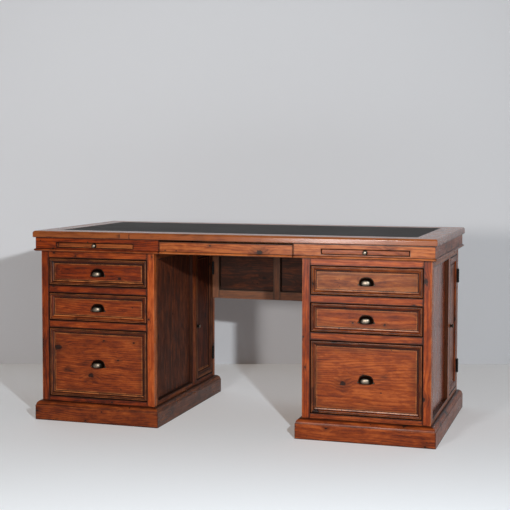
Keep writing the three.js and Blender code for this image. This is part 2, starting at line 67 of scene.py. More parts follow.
STRIP_WIDTH, STRIP_HEIGHT, STRIP_GAP = 9, 20, 1
PULL_HALF, PULL_EARS, PULL_BELOW = 33.5, 5, 2
PULL_PLATE, PULL_PLATE_HALF, PULL_PLATE_HEIGHT = 1.6, 30, 31
CUP_HALF, CUP_HEIGHT, CUP_OUT, CUP_WALL, CUP_WIDEST, CUP_LIP = 27, 28, 24, 1.8, 8, 1.15
# Turned parts, as (radius, height).
SCREW = ((0, 0), (2.3, 0), (2.3, 0.5), (2.0, 0.9), (1.3, 1.25), (0.6, 1.4), (0, 1.45))
KNOB_ROSE = ((9.2, 1.0), (8.4, 1.35), (7.4, 1.2), (6.6, 1.5), (5.2, 2.2), (4.4, 3.2))
KNOB_NECK = ((3.9, 4.6), (4.0, 5.8), (4.8, 6.9))
KNOB_HEAD = (8.2, 4.4)
HINGE_KNUCKLES, HINGE_BALL, HINGE_PIN, HINGE_EASE, HINGE_LEAF = 5, 2.6, 1.8, 0.5, 1.2

# ---- Shapes, worn edges and painted light as shares ----
TOP_JOINTS = (0, 0.235, 0.59, 1)
CUP_SQUARENESS, CUP_PLAN_SQUARENESS, CUP_TUCK = 2.5, 2.3, 0.12
# Edge values: grimy edges beside joints, openings and sunk panels darken with glaze and painted shade;
# rubbed outer edges are paler, and a field's arris is paler with a painted highlight.
RUBBED, GRIMY_AND_SHADED, PANEL_GRIME_AND_SHADE, FIELD_EDGE = -0.45, 1.0, 0.9, -0.68
# The second is how pale or dark a front's border slope is painted on its bottom, far side, top and near
# side: painted highlight where it faces the light, painted shade where it faces away.
BORDER_DARKER, BORDER_SLOPE_LIGHT = 0.38, (0.9, -0.5, -0.6, 0.3)

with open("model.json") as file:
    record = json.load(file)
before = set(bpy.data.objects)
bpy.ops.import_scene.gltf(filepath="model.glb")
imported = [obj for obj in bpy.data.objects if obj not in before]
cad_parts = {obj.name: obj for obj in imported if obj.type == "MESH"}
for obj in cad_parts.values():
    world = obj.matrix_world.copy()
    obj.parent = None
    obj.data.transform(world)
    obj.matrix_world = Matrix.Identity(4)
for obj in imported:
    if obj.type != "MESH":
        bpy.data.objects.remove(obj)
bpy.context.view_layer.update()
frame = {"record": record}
BODY_OF = {n: b for b, nodes in frame["record"]["behaviour"]["bodies"].items() for n in nodes}


def link(name, data):
    """Puts an object in the scene."""
    made = bpy.data.objects.new(name, data)
    bpy.context.scene.collection.objects.link(made)
    return made


# ---- Camera ----
CAMERA_PLACE = Vector((1.4484, -4.6710, 1.0778))
CAMERA_YAW, CAMERA_PITCH, CAMERA_ROLL = (math.radians(a) for a in (17.598, -3.295, -0.041))


def make_camera():
    data = bpy.data.cameras.new("camera")
    data.sensor_width = 36
    data.lens = 82.43
    data.shift_x, data.shift_y = 0.0157, -0.0588
    data.clip_end = 60
    camera = link("camera", data)
    level = Matrix.Rotation(math.pi / 2, 4, "X")
    turned = Matrix.Rotation(CAMERA_YAW, 4, "Z") @ Matrix.Rotation(CAMERA_PITCH, 4, "X")
    rolled = turned @ Matrix.Rotation(CAMERA_ROLL, 4, "Y") @ level
    camera.matrix_world = Matrix.Translation(CAMERA_PLACE) @ rolled
    bpy.context.scene.camera = camera


# ---- Shader nodes ----
class Graph:
    """Short ways to add and join the nodes of one material."""

    def __init__(self, name):
        self.material = bpy.data.materials.new(name)
        self.material.use_nodes = True
        self.tree = self.material.node_tree
        self.tree.nodes.clear()

    def add(self, kind, inputs=(), **settings):
        node = self.tree.nodes.new(kind)
        for key, value in settings.items():
            setattr(node, key, value)
        for key, value in dict(inputs).items():
            if isinstance(value, bpy.types.NodeSocket):
                self.tree.links.new(value, node.inputs[key])
            else:
                node.inputs[key].default_value = value
        return node

    def out(self, kind, inputs=(), **settings):
        """The first output of a new node."""
        return self.add(kind, inputs, **settings).outputs[0]

    def math(self, operation, *values, clamp=False):
        return self.out("ShaderNodeMath", enumerate(values), operation=operation, use_clamp=clamp)

    def plus(self, a, b):
        return self.math("ADD", a, b)

    def minus(self, a, b):
        return self.math("SUBTRACT", a, b)

    def times(self, a, b):
        return self.math("MULTIPLY", a, b)

    def positive(self, value):
        return self.math("MAXIMUM", value, 0.0)

    def times_plus(self, a, b, c):
        """a * b + c."""
        return self.math("MULTIPLY_ADD", a, b, c)

    def split(self, vector):
        return self.add("ShaderNodeSeparateXYZ", {0: vector}).outputs[:]

    def join(self, *values):
        return self.out("ShaderNodeCombineXYZ", enumerate(values))

    def attribute(self, name):
        return self.add("ShaderNodeAttribute", attribute_name=name).outputs["Vector"]

    def noise(self, vector, scale, detail, roughness=0.55, distortion=0.0):
        """Noise with its own scale along each axis of the vector."""
        vector = self.out("ShaderNodeVectorMath", {0: vector, 1: scale}, operation="MULTIPLY")
        inputs = {"Vector": vector, "Scale": 1.0, "Detail": detail, "Roughness": roughness}
        return self.out("ShaderNodeTexNoise", inputs | {"Distortion": distortion})

    def cells(self, vector, scale):
        """A flat pattern of random cells: the distance to the nearest, and its three random values."""
        inputs = {"Vector": vector, "Scale": scale}
        node = self.add("ShaderNodeTexVoronoi", inputs, voronoi_dimensions="2D")
        return node.outputs["Distance"], self.split(node.outputs["Color"])

    def step(self, value, low, high, out_low=0.0, out_high=1.0):
        """A smooth step between two values, which may run downwards."""
        names = ("Value", "From Min", "From Max", "To Min", "To Max")
        inputs = dict(zip(names, (value, low, high, out_low, out_high)))
        return self.out("ShaderNodeMapRange", inputs, interpolation_type="SMOOTHSTEP")

    def mix(self, share, a, b, blend="MIX"):
        node = self.add("ShaderNodeMix", {0: share, 6: a, 7: b}, data_type="RGBA", blend_type=blend)
        return node.outputs[2]

    def ramp(self, value, stops):
        node = self.add("ShaderNodeValToRGB", {0: value})
        elements = node.color_ramp.elements
        while len(elements) < len(stops):
            elements.new(0.5)
        for element, (position, colour) in zip(elements, stops):
            element.position = position
            element.color = colour
        return node.outputs[0]

    def bump(self, height, strength, distance, under=None):
        inputs = {"Strength": strength, "Distance": distance, "Height": height}
        if under is not None:
            inputs["Normal"] = under
        return self.out("ShaderNodeBump", inputs)

    def surface(self, **inputs):
        inputs = {key.replace("_", " "): value for key, value in inputs.items()}
        self.add("ShaderNodeOutputMaterial", {"Surface": self.out("ShaderNodeBsdfPrincipled", inputs)})
        return self.material


def rgb(red, green, blue):
    return (red, green, blue, 1.0)


# ---- Materials ----
KNOTS_PER_METRE, PITS_PER_METRE = 10.0, 34.0
RING_WIDTH, PITH_ACROSS, PITH_BELOW = 0.008, -0.115, 0.012
DUST = rgb(0.16, 0.098, 0.066)
RED_TINT, YELLOW_TINT = rgb(1.06, 0.84, 0.72), rgb(0.93, 1.35, 1.75)
# Layers of noise in the wood: the scale along, across and through the grain, then the detail,
# roughness and distortion.
GRAIN = {
    "warp": ((40, 60, 60), 2.0),
    "ragged": ((110, 170, 170), 3.0, 0.65),
    "wave": ((1.6, 6.0, 6.0), 2.0),
    "mottle": ((17, 62, 62), 5.0, 0.68, 0.3),
    "streak": ((8, 170, 170), 4.0, 0.6),
    "flame": ((8, 24, 24), 4.0, 0.65, 0.4),
    "patch": ((6, 19, 19), 3.0, 0.6, 0.4),
    "fibre": ((34, 800, 800), 2.0),
    "check": ((11, 330, 330), 2.0),
    "hollow": ((9, 28, 28), 2.0),
}


def spots(g, place, per_metre, least_chance, power, spread, least):
    """Spots in the likelier cells of a random pattern, whose radii run from least, mostly small.

    Gives how many radii away the nearest is, 1 where there is one, and its radius in cells.
    """
    distance, (chance, size, _) = g.cells(place, per_metre)
    radius = g.times_plus(g.math("POWER", size, power), spread, least)
    return g.math("DIVIDE", distance, radius), g.math("GREATER_THAN", chance, least_chance), radius


def wood(name, shades, bare_and_highlight, dark, roughness, contrast=1.0, lacquer=0.0, shine=0.12):
    """Knotty pine. Shades run from pale to deep stain, the next colour is worn edges and painted
    highlights, and dark is knots, glaze and painted shade.

    Each point brings its place on its board (local), half the board's size and how grimy or rubbed its
    edges are, with their painted shade and highlight (half), the board's two random numbers and its
    tone (seed), and its own rubbing and glaze with their painted highlight and shade, its warmth and
    its dust (the last layer).
    """
    g = Graph(name)
    along, across, through = g.split(g.attribute("local"))
    half_along, half_across, edge_age_and_light = g.split(g.attribute("half"))
    shift, side, tone = g.split(g.attribute("seed"))
    age, warmth, dust = g.split(g.attribute("age"))
    shifted = (shift, 9.0, along), (side, 3.0, across), (shift, 5.0, through)
    place = g.join(*(g.times_plus(*values) for values in shifted))
    layer = {label: g.noise(place, *settings) for label, settings in GRAIN.items()}
    patch, fibre, deepest = layer["patch"], layer["fibre"], shades[-1][1]

    # Knots of many sizes, and small dents, ticks and worm holes of reclaimed wood.
    spot = g.join(
        g.times_plus(shift, 40.0, g.times(along, 0.7)),
        g.plus(g.times_plus(side, 17.0, across), g.times(layer["warp"], 0.012)),
        0.0,
    )
    reach, has_knot, radius = spots(g, spot, KNOTS_PER_METRE, 0.38, 4.0, 0.105, 0.034)
    reach = g.plus(reach, g.times_plus(layer["ragged"], 1.3, -0.65))
    knot = g.times(has_knot, g.step(reach, 1.1, 0.7))
    halo = g.times(has_knot, g.step(reach, 4.5, 0.6))
    reach, has_pit, _ = spots(g, spot, PITS_PER_METRE, 0.83, 2.0, 0.095, 0.026)
    pit = g.times(has_pit, g.step(reach, 1.1, 0.7))

    # Growth rings round a pith beside the board, bent by slow waves and round the knots.
    bent = g.times_plus(layer["wave"], 0.09, across)
    from_pith = g.plus(bent, g.times_plus(side, 0.14, PITH_ACROSS))
    below = g.plus(g.times_plus(shift, 0.05, PITH_BELOW), through)
    ring = g.math("SQRT", g.plus(g.math("POWER", from_pith, 2.0), g.math("POWER", below, 2.0)))
    ring = g.times_plus(halo, g.times(radius, 1.3 / KNOTS_PER_METRE), ring)
    ring = g.math("FRACT", g.math("DIVIDE", ring, RING_WIDTH))
    late = g.times(g.step(ring, 0.35, 0.9), g.step(ring, 1.0, 0.93))

    # How deep the stain is: mottle, streaks along the grain, broad flames and fine fibres.
    mottle = g.step(layer["mottle"], 0.38, 0.64)
    streak = g.step(layer["streak"], 0.38, 0.62)
    flame = g.step(layer["flame"], 0.36, 0.64)
    depth = g.times_plus(fibre, 0.16, g.times(late, 0.22 * contrast))
    for pattern, share in ((mottle, 0.26), (streak, 0.11), (flame, 0.23)):
        depth = g.times_plus(pattern, share * contrast, depth)
    depth = g.math("SUBTRACT", depth, g.minus(tone, 0.50), clamp=True)
    tint = g.mix(warmth, RED_TINT, YELLOW_TINT)
    colour = g.mix(1.0, g.ramp(depth, shades), tint, "MULTIPLY")

    # Old glaze gathers at edges and in corners, together with painted shade in gaps, grooves and under
    # overhangs (below 0), and arrises are rubbed pale, with painted highlights where they face the
    # light (above 0). For a board's edges it is the other way round.
    to_end = g.minus(half_along, g.math("ABSOLUTE", along))
    to_side = g.minus(half_across, g.math("ABSOLUTE", across))
    to_edge = g.math("MINIMUM", to_end, to_side)
    uneven = g.minus(to_edge, g.times_plus(patch, 0.007, -0.0035))
    edge = g.step(uneven, 0.0056, 0.0020)
    glaze_and_shade = g.times(g.positive(edge_age_and_light), edge)
    glaze_and_shade = g.math("ADD", glaze_and_shade, g.positive(g.times(age, -1.0)), clamp=True)
    arris = g.times(g.positive(g.times(edge_age_and_light, -1.0)), edge)
    arris = g.plus(arris, g.positive(age))
    # Rubbed arrises and painted highlights share this paler colour.
    rubbed = g.times(arris, g.step(mottle, 0.9, 0.1, 0.35, 1.0))
    colour = g.mix(rubbed, colour, bare_and_highlight)

    # The field of a drawer or door front darkens softly towards its border: painted shade beside the
    # proud border.
    shaded = g.step(g.times_plus(flame, 0.024, to_edge), 0.040, 0.004, 0.0, 0.5)
    colour = g.mix(g.times(shaded, g.math("LESS_THAN", edge_age_and_light, -0.6)), colour, deepest)

    colour = g.mix(g.step(patch, 0.62, 0.78, 0.0, 0.7 * contrast), colour, dark)
    colour = g.mix(g.step(layer["check"], 0.68, 0.76, 0.0, 0.6), colour, dark)
    marks = [(halo, 0.45, deepest), (glaze_and_shade, 0.85, dark), (knot, 0.92, dark)]
    marks += [(dust, 1.0, DUST), (pit, 0.85, dark)]
    for mark, strength, cover in marks:
        colour = g.mix(g.times(mark, strength), colour, cover)

    relief = g.times_plus(fibre, 0.5, g.times(late, 0.5))
    relief = g.minus(relief, g.times(g.math("MAXIMUM", pit, knot), 1.6))
    gloss = g.times_plus(rubbed, -0.06, g.times_plus(patch, 0.2, roughness - 0.1))
    return g.surface(
        Base_Color=colour,
        Roughness=g.times_plus(mottle, 0.05, gloss),
        Specular_IOR_Level=shine,
        Normal=g.bump(layer["hollow"], 0.3, 0.0015, g.bump(relief, 0.35, 0.0002)),
        Coat_Weight=lacquer,
        Coat_Roughness=0.16,
    )


def leather():
    """Charcoal writing leather: a fine pebble, soft creases and a low satin shine."""
    g = Graph("leather")
    place = g.attribute("local")
    pebble = g.out("ShaderNodeTexVoronoi", {"Vector": place, "Scale": 620.0}, feature="SMOOTH_F1")
    crease = g.noise(place, (60, 60, 60), 6.0, 0.7, 1.5)
    cloud = g.noise(place, (4, 4, 4), 4.0, 0.6)
    colour = g.mix(g.step(cloud, 0.35, 0.7), rgb(0.016, 0.0105, 0.008), rgb(0.026, 0.017, 0.013))
    colour = g.mix(g.step(pebble, 0.35, 0.75, 0.0, 0.6), colour, rgb(0.006, 0.006, 0.006))
    height = g.minus(g.times(crease, 0.8), pebble)
    return g.surface(
        Base_Color=colour,
        Roughness=g.times_plus(cloud, 0.2, 0.55),
        Specular_IOR_Level=0.24,
        Normal=g.bump(height, 0.35, 0.0003),
    )


def metal(name, dark, bright, roughness, metallic):
    """Cast metal with a patina: "seed" holds how rubbed a point is in x, and "local" is its place."""
    g = Graph(name)
    rub, _, _ = g.split(g.attribute("seed"))
    place = g.attribute("local")
    speckle = g.noise(place, (420, 420, 420), 4.0, 0.6)
    smear = g.noise(place, (110, 110, 110), 3.0, 0.6)
    share = g.plus(rub, g.times_plus(smear, 0.7, -0.35))
    colour = g.mix(g.step(share, 0.25, 0.85), dark, bright)
    colour = g.mix(g.step(speckle, 0.56, 0.7, 0.0, 0.5), colour, dark)
    return g.surface(
        Base_Color=colour,
        Metallic=metallic,
        Roughness=g.times_plus(speckle, 0.25, roughness - 0.12),
        Normal=g.bump(speckle, 0.2, 0.0003),
    )


# Stops of a ramp from pale to deep: how deep the stain is, and its colour.
STAINED = (
    (0.0, rgb(0.350, 0.089, 0.019)), (0.42, rgb(0.190, 0.036, 0.0066)),
    (0.75, rgb(0.094, 0.0155, 0.0042)), (1.0, rgb(0.036, 0.0085, 0.0040)),
)
RAW = ((0.0, rgb(0.56, 0.335, 0.180)), (0.5, rgb(0.43, 0.225, 0.108)), (1.0, rgb(0.25, 0.108, 0.048)))
# The colour of worn edges, which also paints highlights, and the dark of knots, checks, glaze and
# painted shade.
BARE_AND_HIGHLIGHT_COLOUR, GLAZE_AND_SHADE_COLOUR = rgb(0.43, 0.142, 0.042), rgb(0.010, 0.005, 0.004)
MATERIALS = {
    "pine": wood("stained_pine", STAINED, BARE_AND_HIGHLIGHT_COLOUR, GLAZE_AND_SHADE_COLOUR, 0.28),
    "top_pine": wood("top_pine", STAINED, BARE_AND_HIGHLIGHT_COLOUR, GLAZE_AND_SHADE_COLOUR, 0.27, lacquer=0.42),
    "dull_pine": wood("dull_pine", STAINED, BARE_AND_HIGHLIGHT_COLOUR, GLAZE_AND_SHADE_COLOUR, 0.55, shine=0.1),
    "inner_pine": wood("inner_pine", RAW, RAW[0][1], rgb(0.06, 0.028, 0.014), 0.6, 0.7),
    "leather": leather(),
    "brass": metal("antique_brass", rgb(0.012, 0.0095, 0.007), rgb(0.20, 0.165, 0.128), 0.40, 1.0),
    "iron": metal("black_iron", rgb(0.008, 0.008, 0.008), rgb(0.04, 0.038, 0.036), 0.45, 0.7),
}


# ---- How the boards look ----
class Look(NamedTuple):
    """How light, yellow and dusty a board is, and whether its edges are grimy with painted shade (+) or
    rubbed pale, on a field's arris with a painted highlight (-).
    """

    tone: float = 0.5
    warmth: float = 0.25
    edge: float = 0.5
    dust: float = 0.0


PLAIN, PLAIN_PANEL = Look(), Look(edge=PANEL_GRIME_AND_SHADE)
# Darker looks for the left pedestal's side and the modesty panel in the kneehole: their low tones paint
# the kneehole's shade, and the modesty frame is dusty too.
DIM_PAINTED_SHADE, DIM_PANEL_PAINTED_SHADE = Look(0.25, 0.85, dust=0.05), Look(0.12, 0.85, PANEL_GRIME_AND_SHADE, 0.05)
DULL_PAINTED_SHADE, DULL_PANEL_PAINTED_SHADE = Look(0.33, 0.8, dust=0.42), Look(0.03, 0.95, PANEL_GRIME_AND_SHADE, 0.06)
TOP_LOOK, CENTRE_DRAWER_LOOK, SLIDE_LOOK = Look(0.95, 0.3), Look(0.61, 0.36), Look(0.72, 0.3, 0.35)
APRON_LOOKS = {"left": Look(0.37, 0.02), "right": Look(0.67, 0.62)}
PLINTH_LOOKS = {"left": Look(0.42, 0.38), "right": Look(0.48, 0.35)}
# The left plinth's side in the kneehole: its low tone paints the shade there.
PLINTH_IN_PAINTED_SHADE = Look(0.16, 0.8, dust=0.12)
DRAWER_LOOKS = {
    "left": {"bottom": Look(0.38, 0.26), "middle": Look(0.49, 0.08), "top": Look(0.31, 0.02)},
    "right": {"bottom": Look(0.43, 0.26), "middle": Look(0.52, 0.22), "top": Look(0.66, 0.66)},
}
# The left stile, the right stile and the rails.
FACE_FRAME_LOOKS = {
    "left": (Look(0.18, 0.02), Look(0.66, 0.04), Look(0.34, 0.04)),
    "right": (Look(0.46, 0.10), Look(0.42, 0.08), Look(0.5, 0.2)),
}
# The +X side of each pedestal: the frame's three stiles and its rails, the wide panel, and the door.
# The left side faces the kneehole, and its darker looks paint the shade there.
SIDE_FRAME_LOOKS = {"left": (DIM_PAINTED_SHADE, Look(0.48, 0.65), DIM_PAINTED_SHADE, DIM_PAINTED_SHADE), "right": [Look(0.79, 0.42)] * 4}
SIDE_PANEL_LOOKS = {"left": DIM_PANEL_PAINTED_SHADE, "right": Look(0.56, 0.1, PANEL_GRIME_AND_SHADE)}
DOOR_LOOKS = {"left": Look(0.09, 0.5), "right": Look(0.68, 0.3)}
SIDE_FINISH = {"left": "dull_pine", "right": "pine"}
SIDE_PANEL_FINISH = {"left": "dull_pine", "right": "top_pine"}


# ---- Meshes ----
SHARP = math.radians(32)
FULL_ROUND = 1.6 * MM


class Piece:
    """Closed parts gathered into one mesh. "round" is how much of the full rounding its edges get."""

    def __init__(self):
        self.points, self.faces, self.round = [], [], []
        self.layers = {"local": [], "half": [], "seed": [], "age": []}

    def add(self, points, faces, rounding, **layers):
        """Each layer is a list with one value for each point, or one value for them all."""
        first = len(self.points)
        self.points += [tuple(p) for p in points]
        self.faces += [[first + i for i in face] for face in faces]
        self.round += [rounding] * len(points)
        for name, stored in self.layers.items():
            value = layers.get(name, (0, 0, 0))
            stored += value if isinstance(value, list) else [value] * len(points)

    def add_metal(self, points, faces, rub, rounding=0.0):
        """rub is how rubbed the metal is: one number for each point, or one for them all."""
        seed = [(r, 0, 0) for r in rub] if isinstance(rub, list) else (rub, 0, 0)
        self.add(points, faces, rounding, local=[tuple(p) for p in points], seed=seed)

    def mesh(self, name):
        mesh = bpy.data.meshes.new(name)
        mesh.from_pydata(self.points, [], self.faces)
        for label, values in self.layers.items():
            layer = mesh.attributes.new(label, "FLOAT_VECTOR", "POINT")
            layer.data.foreach_set("vector", [c for value in values for c in value])
        work = bmesh.new()
        work.from_mesh(mesh)
        bmesh.ops.recalc_face_normals(work, faces=work.faces)
        weight = work.edges.layers.float.new("bevel_weight_edge")
        work.verts.ensure_lookup_table()
        for edge in work.edges:
            if len(edge.link_faces) == 2 and edge.calc_face_angle() > SHARP:
                edge[weight] = min(self.round[v.index] for v in edge.verts)
        for face in work.faces:
            face.smooth = True
        work.to_mesh(mesh)
        work.free()
        return mesh

    def stand_for(self, node, slot, finish=None):
        """Makes the object, which stands for one CAD node and rides with its body.

        finish names its material, where that isn't the slot's own.
        """
        name = f"{node}_{slot}"
        made = link(name, self.mesh(name))
        made.data.materials.append(MATERIALS[finish or slot])
        if max(self.round) > 0:
            bevel = made.modifiers.new("rounded_edges", "BEVEL")
            bevel.width = FULL_ROUND
            bevel.segments = 2
            bevel.limit_method = "WEIGHT"
            bevel.use_clamp_overlap = True
        flat = made.modifiers.new("flat_faces", "WEIGHTED_NORMAL")
        flat.weight = 80
        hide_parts(node)
        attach(made, BODY_OF[node])


def board_look(look):
    """The wood layers of one board, which differs a little from its neighbours."""
    seed = (draw.random(), draw.random(), look.tone + draw.uniform(-0.09, 0.09))
    return seed, look.warmth + draw.uniform(-0.12, 0.12)


BOX_FACES = ((0, 1, 3, 2), (4, 6, 7, 5), (0, 4, 5, 1), (2, 3, 7, 6), (0, 2, 6, 4), (1, 5, 7, 3))


def box_corners(low, high):
    xs, ys, zs = zip(low, high)
    return [Vector((x, y, z)) for x in xs for y in ys for z in zs]


def board(piece, low, high, along, look=PLAIN, rounding=0.6, within=None, edges=None, through=None):
    """A board between two corners, with its grain along one axis. within is the panel it is part of.

    edges gives how grimy, with painted shade, or rubbed its lower edge and its higher one are, where
    they differ. through is the axis of its thickness, which is otherwise its shortest side.
    """
    outer_low, outer_high = (Vector(v) for v in (within or (low, high)))
    size, centre = outer_high - outer_low, (outer_high + outer_low) / 2
    if through is None:
        through = min((i for i in range(3) if i != along), key=lambda i: size[i])
    across = 3 - along - through
    corners = box_corners(low, high)
    seed, warmth = board_look(look)
    edges = edges or (look.edge, look.edge)
    half = (size[along] / 2, size[across] / 2)
    piece.add(
        corners, BOX_FACES, rounding, seed=seed, age=(0, warmth, look.dust),
        local=[tuple((corner - centre)[i] for i in (along, across, through)) for corner in corners],
        half=[(*half, edges[corner[across] > centre[across]]) for corner in corners],
    )


def staves(piece, low, high, along, across, count, look=PLAIN, rounding=0.3):
    """Boards of uneven width glued edge to edge across one axis."""
    low, high = Vector(low), Vector(high)
    shares = [draw.uniform(0.75, 1.25) for _ in range(count)]
    at = low[across]
    for share in shares:
        upto = at + (high[across] - low[across]) * share / sum(shares)
        start, end = low.copy(), high.copy()
        start[across], end[across] = at, upto
        board(piece, start, end, along, look, rounding, within=(low, high))
        at = upto


def ends(low, high, width):
    """A strip at either end of a span."""
    return (low, low + width), (high - width, high)


def arc(centre, radii, start, end, steps):
    """Points on an ellipse's arc, between two angles in degrees."""
    points = []
    for i in range(steps + 1):
        angle = math.radians(start + (end - start) * i / steps)
        points.append((centre[0] + radii[0] * math.cos(angle), centre[1] + radii[1] * math.sin(angle)))
    return points


def run(node, along, inward):
    """Where a length of moulding that fills a node's side starts, and how long it is."""
    low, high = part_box(node)
    centre, size = (low + high) / 2, high - low
    length, width = abs(size.dot(along)), abs(size.dot(inward))
    start = centre - along * length / 2 - inward * width / 2
    start.z = low.z
    return start, length


def moulding(
    piece, profile, start, along, inward, length, out=UP, mitres=(True, True), slot=None, look=PLAIN,
    rounding=0.5,
):
    """A length of moulding. Profile points are (inward, out, and how rubbed or glazed the point is,
    with its painted highlight and shade), in millimetres; length is in metres.

    A mitred end runs at 45 degrees. slot is (from, to, front edge, back edge) of a hole through it,
    whose faces are painted dark with shade that fades out along the moulding.
    """
    shape = [(point[0] * MM, point[1] * MM) for point in profile]
    ages_and_light = [point[2] if len(point) > 2 else 0.0 for point in profile]
    rows = [[w if mitres[0] else 0 for w, _ in shape]]
    # Rows beside a slot, where its painted shade fades out.
    if slot:
        glaze_and_shade = SLOT_SHADE_FADE * MM
        rows += [[s] * len(shape) for s in (slot[0] - glaze_and_shade, *slot[:2], slot[1] + glaze_and_shade)]
    rows += [[length - (w if mitres[1] else 0) for w, _ in shape]]
    row_ages_and_light = [list(ages_and_light) for _ in rows]
    spans = [(max(c) + min(c), max(c) - min(c)) for c in zip(*shape)]
    middle = [total / 2 for total, _ in spans]
    upright = spans[1][1] > spans[0][1]
    points, local = [], []
    for row in rows:
        for s, (w, h) in zip(row, shape):
            points.append(start + along * s + inward * w + out * h)
            sideways = (w - middle[0], h - middle[1])
            local.append((s - length / 2, *(reversed(sideways) if upright else sideways)))
    count = len(shape)
    faces = [range(count), range((len(rows) - 1) * count, len(rows) * count)]
    for row in range(len(rows) - 1):
        for i in range(count):
            if slot and row == 2 and i in slot[2:]:
                continue
            here, there, next_i = row * count, (row + 1) * count, (i + 1) % count
            faces.append((here + i, here + next_i, there + next_i, there + i))
    if slot:
        rim = [slot[2], slot[2] + 1, slot[3], slot[3] + 1]
        for a, b in ((rim[0], rim[3]), (rim[1], rim[2])):
            faces.append((2 * count + a, 3 * count + a, 3 * count + b, 2 * count + b))
        # The slot's own faces are painted dark with shade.
        for row in (2, 3):
            faces.append([row * count + i for i in rim])
            for i in rim:
                row_ages_and_light[row][i] = -1
    seed, warmth = board_look(look)
    piece.add(
        points, faces, rounding, local=local, seed=seed,
        half=(length / 2, max(extent for _, extent in spans) / 2, look.edge),
        age=[(age, warmth, look.dust) for row in row_ages_and_light for age in row],
    )


# ---- Profiles ----
def aged_and_lit(points, *ages_and_light):
    """Gives each point of a run the next of these values, spread evenly over the run: below 0 glaze
    with painted shade, above 0 rubbing with a painted highlight.
    """
    last = len(points) - 1
    result = []
    for i, (w, h) in enumerate(points):
        place = i / last * (len(ages_and_light) - 1)
        before = min(int(place), len(ages_and_light) - 2)
        share = place - before
        result.append((w, h, ages_and_light[before] * (1 - share) + ages_and_light[before + 1] * share))
    return result


def front_profile(flat, slope_light):
    """The border of a drawer or door front: round edge, flat, quirk, ogee and a groove by the field.

    The last argument sets how pale or dark its gentle inner slope is painted: a painted highlight on a
    side that faces the light, painted shade on one that faces away. The side in the gap, the quirk, the
    hollow and the groove are darkened with glaze and painted shade, and the round edge is rubbed pale
    with a painted highlight.
    """
    shift = flat - DRAWER_FLAT
    inner = flat + BORDER_PAST_FLAT
    edge = aged_and_lit(arc((3.6, 3.2), (3.6, 3.2), 180, 270, 5), -1.0, -0.4, 0.45, 0.4)
    quirk = [(5.0 + shift, 1.0, -1), (6.2 + shift, 1.0, -1)]
    round_part = arc((6.5 + shift, 3.4), (3.4, 2.6), 270, 335, 4)
    last_w, last_depth = round_part[-1]
    reach, fall = 14.0 + shift - last_w, 6.3 - last_depth
    hollow_part = [
        (last_w + reach * i / 5, last_depth + fall * (1 - (1 - i / 5) ** 1.7)) for i in range(1, 6)
    ]
    slope = [(15.5 + shift, 6.68), (17.0 + shift, 6.98), (18.5 + shift, 7.2)]
    return [
        (0, FRONT_THICKNESS, -0.35),
        (0, 4.5, -1),
        *edge,
        (4.6 + shift, 0, 0.4 if flat == DRAWER_FLAT else 0),
        *quirk,
        *aged_and_lit(round_part, -0.3, 0.4, 0.2),
        *aged_and_lit(hollow_part, 0, -0.5, -0.2),
        *aged_and_lit(slope, slope_light, slope_light),
        (18.8 + shift, GROOVE_DEPTH, -1),
        (inner, GROOVE_DEPTH, -1),
        (inner, FRONT_THICKNESS, -1),
    ]


def top_profile():
    rounded = TOP_THICKNESS - NOSING
    # Painted shade under the nosing and where the frame meets the leather; the nosing's upper round is
    # rubbed paler, with a painted highlight.
    return [
        *aged_and_lit(arc((UNDER_EDGE, UNDER_EDGE), (UNDER_EDGE, UNDER_EDGE), 270, 180, 4), -0.9, -0.3),
        (0, UNDER_EDGE + 2, 0),
        *aged_and_lit(arc((NOSING, rounded), (NOSING, NOSING), 180, 90, 9), 0, 0.3, 0.35, 0),
        (TOP_BORDER - 2, TOP_THICKNESS, 0),
        (TOP_BORDER, TOP_THICKNESS, -0.6),
        (TOP_BORDER, 0, -1),
    ]


def apron_profile(height, slotted=False):
    """The apron, whose slotted form has points at the slot's edges, in front and behind."""
    bead = arc((BEAD, BEAD_HEIGHT / 2), (BEAD, BEAD_HEIGHT / 2), 270, 90, 10)
    behind = BEAD + APRON_THICKNESS
    front = [(BEAD, z, 0) for z in (SLOT_FROM - 2.5, SLOT_FROM, SLOT_TO, SLOT_TO + 3.5)]
    back = [(behind, SLOT_TO), (behind, SLOT_FROM)]
    # The bead is rubbed paler on its upper round, with a painted highlight, and darker below and at the
    # back; the top edge under the nosing is painted shadow.
    return [
        *aged_and_lit(bead, -0.5, 0.2, 0.4, -0.2, -1),
        (BEAD, BEAD_HEIGHT + 2, -0.1),
        *(front if slotted else ()),
        (BEAD, height - 4, 0),
        (BEAD, height, -0.9),
        (behind, height),
        *(back if slotted else ()),
        (behind, 0),
    ]


def plinth_profile():
    inner = PLINTH_OUT + BOARD
    radii = (PLINTH_OUT - PLINTH_FILLET, PLINTH_HEIGHT - PLINTH_FACE)
    # Painted shade where the plinth meets the floor and in the quirk under the carcass; its top arris
    # is rubbed paler, with a painted highlight.
    return [
        (0, 0, -0.8),
        (0, 3, -0.1),
        (0, PLINTH_FACE - 4, 0),
        (0, PLINTH_FACE - 0.8, 0.2),
        (0.6, PLINTH_FACE, 0.35),
        *aged_and_lit(arc((PLINTH_OUT, PLINTH_FACE), radii, 180, 90, 10), -0.5, 0.1, 0.1, -0.3, -0.9),
        (inner, PLINTH_HEIGHT),
        (inner, 0),
    ]


